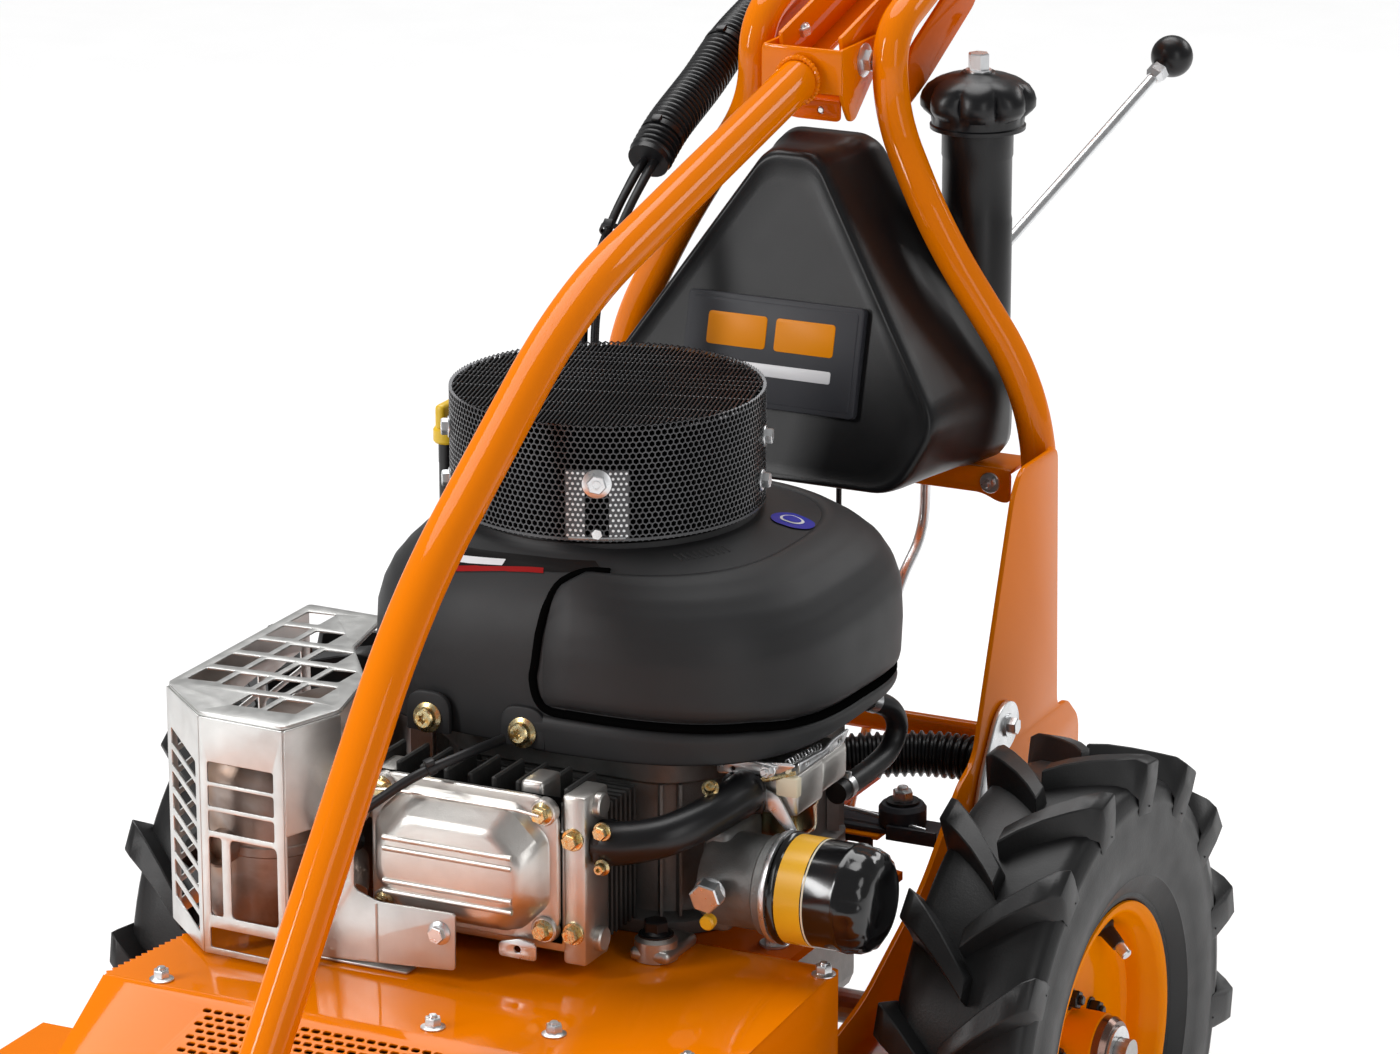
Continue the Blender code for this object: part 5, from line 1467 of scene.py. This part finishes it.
def make_filter():
    """Oil filter with its crimp ring and label band, the pressure sender and the engine foot."""
    place = frame_at((0.182, -0.212, 0.384), (1, 0, 0))
    can = [
        (0.0, 0.0004), (0.034, 0.0004), (0.0352, 0.0022), (0.0352, 0.005), (0.0378, 0.006), (0.0386, 0.0078),
        (0.0378, 0.0096), (0.0366, 0.0104), (0.0366, 0.05), (0.0372, 0.052), (0.0372, 0.056), (0.0362, 0.058),
        (0.0358, 0.064), (0.033, 0.0705), (0.027, 0.0742), (0.018, 0.0752), (0.0, 0.0756)]
    rings = []
    for radius, height in can:
        ring = []
        for i in range(60):
            t = math.tau * i / 60
            flute = 0.0009 if 0.057 <= height < 0.071 and i % 4 < 2 else 0.0
            ring.append(
                ((max(radius, 1e-5) - flute) * math.cos(t), (max(radius, 1e-5) - flute) * math.sin(t), height)
            )
        rings.append(ring)
    piece(
        "oil_filter_can", moved(skin(rings, start=False, end=False), place), GLOSS_BLACK,
        replaces=["oil_filter"], smooth=40)
    collar = spin(
        [
            (0.0349, 0.0003), (0.0372, 0.0003), (0.0382, 0.0024), (0.0382, 0.0046), (0.0356, 0.0056),
            (0.0349, 0.005)],
        place, 60, closed=True)
    piece("filter_crimp_ring", collar, ZINC)
    band = spin(
        [(0.0366, 0.0115), (0.03685, 0.0117), (0.03685, 0.03), (0.0366, 0.0302)], place, 60, closed=True)
    piece("filter_label_band", band, LABEL)
    stripe = spin(
        [(0.0366, 0.031), (0.03682, 0.0311), (0.03682, 0.0322), (0.0366, 0.0323)], place, 60, closed=True)
    piece("filter_label_stripe", stripe, CREAM)
    base = [spin(
        [
            (0, -0.048), (0.03, -0.048), (0.032, -0.044), (0.032, -0.008), (0.0345, -0.006),
            (0.0345, -0.0002), (0, -0.0002)],
    place, 48)]
    base.append(block((0.129, -0.225, 0.348), (0.15, -0.17, 0.42), 0.006, 3))
    piece("filter_mount", merged(*base), CAST_GREY)
    sender = hex_bolt((0.149, -0.252, 0.388), (0.1, -1, -0.12), 0.019, 0.011, flange=0.011)
    piece("oil_sender_body", sender, ZINC)
    plug = spin(
        [(0, 0), (0.0052, 0), (0.0052, 0.0055), (0.004, 0.0068), (0, 0.0068)],
        frame_at((0.149, -0.252, 0.368), (0.05, -1, -0.1)), 20)
    piece("oil_sender_plug", plug, LABEL)
    lobe = merged(
        block((0.09, -0.256, 0.3305), (0.12, -0.21, 0.34), 0.004, 3),
        spin(
            [(0, 0.3305), (0.015, 0.3305), (0.0145, 0.344), (0.012, 0.3465), (0, 0.3465)],
            Matrix.Translation((0.104, -0.242, 0)), 32))
    piece("engine_foot", lobe, ALUMINIUM)
    piece(
        "engine_foot_bolt",
        hex_bolt((0.104, -0.242, 0.3464), (0, 0, 1), 0.015, 0.008, washer=0.012, flange=0.01), BLACK)


def make_dipstick():
    tube = resampled(
        fillet(
            [(-0.1175, -0.03, 0.4), (-0.14, -0.03, 0.402), (-0.166, -0.03, 0.44), (-0.166, -0.03, 0.6)], 0.03,
            10),
        0.004)
    foot = spin(
        [(0.0064, 0.586), (0.0064, 0.5995), (0.004, 0.5999), (0.004, 0.586)], Matrix.Translation(DIPSTICK_AT),
        24, closed=True)
    piece(
        "dipstick_tube_bent", merged(sweep(tube, 0.0062, 20), foot), BLACK,
        replaces=["dipstick_tube"])
    handle = [spin(
        [(0, 0.6006), (0.009, 0.6006), (0.01, 0.602), (0.01, 0.61), (0.008, 0.613), (0, 0.613)],
    Matrix.Translation(DIPSTICK_AT), 28)]
    handle.append(block((-0.17, -0.042, 0.612), (-0.162, -0.018, 0.63), 0.003, 3))
    piece("dipstick_handle", merged(*handle), YELLOW, "dipstick", ["dipstick"])


# ---- exhaust ------------------------------------------------------------------------------------------
GUARD_PLAN = [
    (-0.221, -0.1345), (-0.221, -0.3248), (-0.1697, -0.3695), (-0.1043, -0.3725), (-0.0885, -0.325),
    (-0.1043, -0.2622), (-0.1463, -0.2053), (-0.1603, -0.1365)]
GUARD_TOP, GUARD_FOOT, GUARD_SHEET = 0.5025, 0.3325, 0.0014


def wall(a, b, low, high, holes=()):
    """An upright sheet between two plan points. holes are outlines in (distance along, height)."""
    a, b = Vector((*a, 0)), Vector((*b, 0))
    along = (b - a).normalized()
    place = Matrix.Translation(a) @ Matrix(
        (along, Vector((0, 0, 1)), along.cross(Vector((0, 0, 1))))
    ).transposed().to_4x4()
    length = (b - a).length
    outline = arc_corners([(0.0, low), (length, low), (length, high), (0.0, high)], 0.0012, 2)
    return sheet_metal(outline, GUARD_SHEET, place, holes, 0.00035)


def slot_hole(x, z, width, height, drop=0.0, corner=0.0016):
    """A slot that drops by so much from its near end to its far end."""
    return arc_corners(
        [(x, z), (x + width, z - drop), (x + width, z - drop + height), (x, z + height)], corner, 3)


def make_guard():
    """Folded muffler guard with its slots, and the tinted muffler inside."""
    plan = GUARD_PLAN
    shapes = []
    foot, brow = GUARD_FOOT, GUARD_TOP - 0.003

    side = [
        slot_hole(0.012 + column * 0.059, foot + 0.017 + k * 0.0157, 0.05, 0.0115, 0.006) for k in range(8)
        for column in range(3)]
    shapes.append(wall(plan[0], plan[1], foot, brow, side))
    shapes.append(wall(
        plan[1], plan[2], foot, brow,
    [slot_hole(0.008, foot + 0.019 + k * 0.0157, 0.052, 0.0115, 0.008) for k in range(8)]))
    front = [slot_hole(0.0058, z, 0.052, 0.0145, corner=0.002) for z in (0.4545, 0.4375, 0.42)]
    front.append(slot_hole(0.0058, 0.36, 0.01, 0.056, corner=0.0022))
    front.append(slot_hole(0.0225, 0.36, 0.037, 0.056, corner=0.004))
    front.append(slot_hole(0.005, 0.337, 0.053, 0.0145, corner=0.002))
    shapes.append(wall(plan[2], plan[3], foot, brow, front))
    shapes.append(wall(plan[3], plan[4], 0.4255, brow))
    for corner in plan[1:4]:
        inward = Vector((-0.15 - corner[0], -0.25 - corner[1])).normalized() * 0.0008
        at = (corner[0] + inward.x, corner[1] + inward.y)
        shapes.append(sweep([(*at, foot + 0.0008), (*at, brow - 0.0005)], 0.0012, 10))

    # top: a flat sheet with its edge rolled down, cut with slanted slots
    holes = []
    for row in range(6):
        y = -0.348 + row * 0.0345
        for column in range(4):
            x = -0.213 + column * 0.0265 + max(0.0, -0.322 - y) * 1.1
            inner = -0.101 if y < -0.295 else -0.118 + (
                -0.262 - y
            ) * 0.3 if y < -0.262 else -0.122 - (y + 0.262) * 0.72
            right = min(x + 0.0215, inner - 0.004)
            if right - x > 0.008 and not (row == 0 and column == 0):
                holes.append(
                    arc_corners([(x, y), (right, y + 0.0025), (right, y + 0.0285), (x, y + 0.026)], 0.0022, 3)
                )
    shapes.append(sheet_metal(
    arc_corners(plan, 0.004, 4), 0.0014, Matrix.Translation((0, 0, GUARD_TOP - 0.0017)), holes, 0.0004))
    loop = [Vector((x, y, GUARD_TOP - 0.0022)) for x, y in arc_corners(plan, 0.004, 4)]
    loop = [Vector((p.x + (-0.15 - p.x) * 0.013, p.y + (-0.25 - p.y) * 0.008, p.z)) for p in loop]
    shapes.append(sweep(resampled([*loop, loop[0]], 0.004), 0.0015, 10, ends=False))
    seam = [
        Vector((plan[2][0] + 0.0015, plan[2][1] - 0.0004, 0.4885)),
        Vector((plan[3][0] - 0.0005, plan[3][1] - 0.0004, 0.4885))]
    shapes.append(sweep(seam, 0.0009, 8))
    piece("muffler_guard_slotted", merged(*shapes), GALVANISED, replaces=["muffler_guard"])

    rings = []
    for level, inset in (
        (0.3425, 0.012), (0.344, 0.004), (0.35, 0.0006), (0.394, 0.0006), (0.395, -0.0002), (0.401, -0.0002),
        (0.402, 0.0006), (0.448, 0.0006), (0.456, 0.004), (0.459, 0.012)):
        rings.append(
            [(x, y, level) for x, y in squared(-0.158, -0.248, 0.049 - inset, 0.097 - inset, 0.7, 64)])
    shapes = [skin(rings)]
    route = flowing([(-0.11, -0.272, 0.376), (-0.098, -0.292, 0.372), (-0.094, -0.302, 0.365)], 8)
    shapes.append(sweep(route, 0.01, 20))
    shapes.append(moved(
        spin(
            [(0.0, 0.0), (0.012, 0.0), (0.012, 0.012), (0.0105, 0.012), (0.0105, 0.002), (0.0, 0.002)],
            steps=24),
    frame_at((-0.168, -0.344, 0.4), (0, -1, 0))))
    piece("muffler_canister", merged(*shapes), EXHAUST, replaces=["muffler"])


# ---- belt cover, deck and small parts beside the engine -------------------------------------------------
def make_cover_details():
    bolts = []
    for x, y in (
        (-0.173, -0.421), (0.029, -0.416), (0.105, -0.392), (0.218, -0.221), (-0.173, -0.232), (0.205, -0.4)):
        bolts.append(hex_bolt((x, y, 0.3302), (0, 0, 1), 0.01, 0.0058, flange=0.0082, tail=0.002))
    bolts.append(hex_bolt((0.1945, 0.09, 0.308), (1, 0, 0), 0.015, 0.008, washer=0.011, tail=0.005))
    for x, y in ((0.165, -0.185), (-0.165, -0.185), (0.07, 0.14), (-0.07, 0.14)):
        bolts.append(hex_bolt((x, y, 0.3302), (0, 0, 1), 0.013, 0.007, washer=0.0105, tail=0.003))
    piece("cover_bolts", merged(*bolts), ZINC)
    studs = []
    for sign in (1, -1):
        for y, z in ((-0.04, 0.18), (0.055, 0.18), (0.12, 0.21)):
            studs.append(
                hex_bolt((sign * 0.1942, y, z), (sign, 0, 0), 0.017, 0.009, washer=0.013, tail=0.004))
    piece("side_studs", merged(*studs), ZINC)


def make_right_side():
    """Between engine and side plate: isolator on its arm, windowed bracket, rods, lock lever bolt."""
    base = (0.1546, 0.05, 0.3375)
    cup = [(0, 0.0), (0.016, 0.0), (0.0172, 0.002), (0.0172, 0.013), (0.015, 0.016), (0, 0.016)]
    piece("isolator_cup", moved(spin(cup, steps=40), Matrix.Translation(base)), BADGE)
    top = (base[0], base[1], base[2] + 0.016)
    piece(
        "isolator_washer",
        spin([(0, 0), (0.012, 0), (0.012, 0.0022), (0, 0.0022)], Matrix.Translation(top), 32), BLACK)
    piece(
        "isolator_bolt", hex_bolt((top[0], top[1], top[2] + 0.0021), (0, 0, 1), 0.013, 0.0075, tail=0.003),
        ZINC)
    arm = merged(
        block((0.09, 0.034, 0.3334), (0.1885, 0.066, 0.3372), 0.001),
        block((0.15, 0.03, 0.331), (0.1885, 0.034, 0.342), 0.001))
    piece("isolator_arm", arm, BADGE)
    piece(
        "isolator_shelf", block((0.105, 0.028, 0.3302), (0.145, 0.07, 0.3333), 0.0008), ORANGE
    )
    window = arc_corners([(0.118, 0.316), (0.134, 0.316), (0.134, 0.327), (0.118, 0.327)], 0.005)
    outline = arc_corners(
        [(0.111, 0.311), (0.141, 0.311), (0.141, 0.332), (0.111, 0.332)], [0.008, 0.008, 0.002, 0.002])
    bracket = sheet_metal(outline, 0.0026, facing_front(0.03), [window], 0.0004)
    piece("cable_bracket", bracket, BLACK)
    rod = resampled(
        fillet(
            [(0.105, 0.044, 0.346), (0.13, 0.044, 0.344), (0.162, 0.038, 0.342), (0.178, 0.038, 0.34)], 0.01),
        0.003)
    piece("control_rod", sweep(rod, 0.0017, 12), ZINC)
    pivot = moved(
        merged(
            spin([(0, 0), (0.0085, 0), (0.0085, 0.002), (0, 0.002)], steps=28),
            hex_bolt((0, 0, 0.0019), (0, 0, 1), 0.011, 0.006)),
        frame_at((0.1989, 0.135, 0.392), (1, 0, 0)))
    piece("lock_lever_bolt", pivot, ZINC, "lock_lever")

    # link rod hanging from the tank bar
    rod = resampled(
        fillet(
            [
                (0.03, 0.21, 0.53), (0.03, 0.21, 0.495), (0.015, 0.185, 0.468), (0.01, 0.13, 0.43),
                (0.01, 0.1, 0.34)],
            0.012),
        0.004)
    piece("throttle_rod", sweep(rod, 0.0021, 14), BLACK)
    red = block((0.056, 0.103, 0.526), (0.068, 0.112, 0.54), 0.003, 3)
    piece("ignition_connector", red, RED)


def make_deck():
    """Folded deck edge, stitched corner seams and the stiffening rib on top."""
    outline = [(0.38, -0.25), (0.38, -0.66), (0.22, -0.93), (-0.22, -0.93), (-0.38, -0.66), (-0.38, -0.25)]
    inset = [
        (0.3782, -0.251), (0.3782, -0.6594), (0.219, -0.9284), (-0.219, -0.9284), (-0.3782, -0.6594),
        (-0.3782, -0.251)]
    shapes = [sweep([(x, y, 0.0618) for x, y in inset], 0.0017, 10)]
    for x, y in inset[1:5]:
        shapes.append(weld_bead([(x, y, 0.19 - 0.012 * i) for i in range(10)], 0.0014))
    stiff = [(x * 0.9, -0.27 + (y + 0.27) * 0.92, 0.201) for x, y in outline[1:5]]
    shapes.append(sweep(resampled(fillet(stiff, 0.05), 0.01), 0.0038, 12))
    piece("deck_edge_rolls", merged(*shapes), ORANGE)


def make_belt_cover():
    """Folded cover over the belts: flat top, sloped front with punched rows, saw-cut left edge."""
    rows = (
        (-0.206, -0.1858, 0.2218, 0.3299), (-0.43, -0.2128, 0.2358, 0.3299), (-0.67, -0.1898, 0.2048, 0.2239))
    shapes = []
    top = [
        (rows[0][1], rows[0][0]), (rows[0][2], rows[0][0]), (rows[1][2], rows[1][0]), (rows[1][1], rows[1][0])
    ]
    shapes.append(
        sheet_metal(arc_corners(top, 0.003, 3), 0.0018, Matrix.Translation((0, 0, 0.3281)), edge=0.0004))
    a, b = Vector((0, rows[1][0], rows[1][3])), Vector((0, rows[2][0], rows[2][3]))
    down = (b - a).normalized()
    length = (b - a).length
    place = Matrix.Translation(a) @ Matrix(
        (Vector((1, 0, 0)), -down, Vector((1, 0, 0)).cross(-down))
    ).transposed().to_4x4()
    place = place @ Matrix.Translation((0, 0, -0.0018))
    holes = []
    for j in range(12):
        for i in range(-16, 22):
            x = 0.006 + i * 0.0082 + (0.0041 if j % 2 else 0.0)
            holes.append(arc_corners(
                [
                    (x - 0.003, -0.0155 - j * 0.0062), (x + 0.003, -0.0155 - j * 0.0062),
                    (x + 0.003, -0.012 - j * 0.0062), (x - 0.003, -0.012 - j * 0.0062)],
            0.001, 1))
    slope = [(rows[2][1], -length), (rows[2][2], -length), (rows[1][2], 0.0), (rows[1][1], 0.0)]
    shapes.append(sheet_metal(slope, 0.0018, place, holes, 0.0003))
    shapes.append(sweep([(rows[1][1], rows[1][0], 0.3286), (rows[1][2], rows[1][0], 0.3286)], 0.0012, 10))
    foot = 0.2003
    for k, sign in ((1, -1), (2, 1)):
        points = [
            (rows[0][0], rows[0][k], 0.329), (rows[1][0], rows[1][k], 0.329), (rows[2][0], rows[2][k], 0.2235)
        ]
        for (y0, x0, z0), (y1, x1, z1) in zip(points, points[1:]):
            ring = [(x0, y0, foot), (x1, y1, foot), (x1, y1, z1), (x0, y0, z0)]
            shapes.append(skin([ring, [(x - sign * 0.0018, y, z) for x, y, z in ring]]))
    x0, x1 = rows[2][1], rows[2][2]
    shapes.append(block((x0, rows[2][0], foot), (x1, rows[2][0] + 0.0018, 0.2236), 0.0004, 1))
    shapes.append(block((rows[0][1], rows[0][0] - 0.0018, foot), (rows[0][2], rows[0][0], 0.329), 0.0004, 1))
    teeth, y_from, y_to, x_from, x_to = 34, rows[0][0] - 0.01, rows[1][0] + 0.004, rows[0][1], rows[1][1]
    for i in range(teeth):
        t = (i + 0.5) / teeth
        y, x = y_from + (y_to - y_from) * t, x_from + (x_to - x_from) * t
        tooth = [(x + 0.0008, y + 0.0026), (x - 0.0026, y), (x + 0.0008, y - 0.0026)]
        shapes.append(skin([[(px, py, z) for px, py in tooth] for z in (0.3283, 0.3297)]))
    piece("belt_cover_punched", merged(*shapes), ORANGE, replaces=["belt_cover"], smooth=25)
    # a near-black sheet under the cover: painted shade seen through the punched holes
    piece("belt_cover_inside_shade", block((-0.18, -0.64, 0.202), (0.2, -0.21, 0.206), 0.001), DARK)


# ---- scene --------------------------------------------------------------------------------------------
CAMERA_AT = (1.638, -3.157, 1.683)
CAMERA_AZIMUTH, CAMERA_ELEVATION = 26, 17  # degrees
CAMERA_LENS = 141.43  # millimetres, on a 36 mm sensor


def lamp(name, place, size, power):
    """A rectangular lamp that looks at the middle of the machine."""
    data = bpy.data.lights.new(name, "AREA")
    data.shape = "RECTANGLE"
    data.size, data.size_y = size
    data.energy = power
    obj = bpy.data.objects.new(name, data)
    obj.location = place
    obj.rotation_euler = (LAMP_TARGET - Vector(place)).to_track_quat("-Z", "Y").to_euler()
    bpy.context.scene.collection.objects.link(obj)


def make_studio():
    scene = bpy.context.scene
    scene.view_settings.view_transform = "Standard"
    world = bpy.data.worlds.new("pale_room")
    world.use_nodes = True
    background = world.node_tree.nodes["Background"]
    background.inputs["Color"].default_value = (1.0, 1.0, 1.0, 1.0)
    background.inputs["Strength"].default_value = 0.24
    scene.world = world

    floor_mesh = bpy.data.meshes.new("floor")
    reach = 9.0
    floor_corners = [(-reach, -reach, 0), (reach, -reach, 0), (reach, reach, 0), (-reach, reach, 0)]
    floor_mesh.from_pydata(floor_corners, [], [[0, 1, 2, 3]])
    floor_mesh.materials.append(
        shader("pale_floor", (0.96, 0.96, 0.96), 0.7, vary=0.01, grain=200, bump=0.01))
    floor = bpy.data.objects.new("floor", floor_mesh)
    scene.collection.objects.link(floor)

    sun = bpy.data.objects.new("sky_soft", bpy.data.lights.new("sky_soft", "SUN"))
    sun.data.energy = 2.5
    sun.data.angle = math.radians(50)
    sun.rotation_euler = (math.radians(-18), math.radians(-16), 0.0)
    scene.collection.objects.link(sun)
    lamp("key_left", (-2.2, -2.9, 2.2), (0.5, 2.6), 85)
    lamp("fill_right", (3.0, -1.6, 1.7), (1.0, 2.4), 20)
    lamp("rim_back", (1.6, 3.2, 2.4), (2.0, 0.8), 25)

    azimuth, elevation = math.radians(CAMERA_AZIMUTH), math.radians(CAMERA_ELEVATION)
    right = Vector((math.cos(azimuth), math.sin(azimuth), 0))
    back = Vector(
        (
            math.sin(azimuth) * math.cos(elevation), -math.cos(azimuth) * math.cos(elevation),
            math.sin(elevation)))
    up = back.cross(right)
    data = bpy.data.cameras.new("camera")
    data.sensor_width = 36
    data.lens = CAMERA_LENS
    camera = bpy.data.objects.new("camera", data)
    camera.matrix_world = Matrix.Translation(CAMERA_AT) @ Matrix((right, up, back)).transposed().to_4x4()
    scene.collection.objects.link(camera)
    scene.camera = camera


def main():
    make_studio()
    make_tubes()
    make_side_plates()
    make_crossbar()
    make_head()
    make_handlebar()
    for name, sign in SIDES:
        make_tyre(name, sign)
        make_rim(name, sign)
    make_castor()
    make_tank()
    make_cap()
    make_conduits()
    make_shift_lever()
    make_lock_lever()
    bolts = make_housing()
    make_drum()
    make_block(bolts)
    make_intake()
    make_filter()
    make_dipstick()
    make_guard()
    make_cover_details()
    make_right_side()
    make_deck()
    make_belt_cover()
    dress(ORANGE, "mower_deck", "castor_fork")
    # the darker orange on the engine plate is painted shade
    dress(ORANGE_SHADE, "engine_plate")
    dress(RUBBER, "front_flap", "blade_belt", "drive_belt")
    dress(CAST_GREY, "spindle_housing", "gearbox")
    dress(STEEL, "crankshaft", "blade_spindle", "cutter_bar", "gearbox_pulley", "axle_left", "axle_right")
    dress(BLACK, "flywheel_fan")


main()
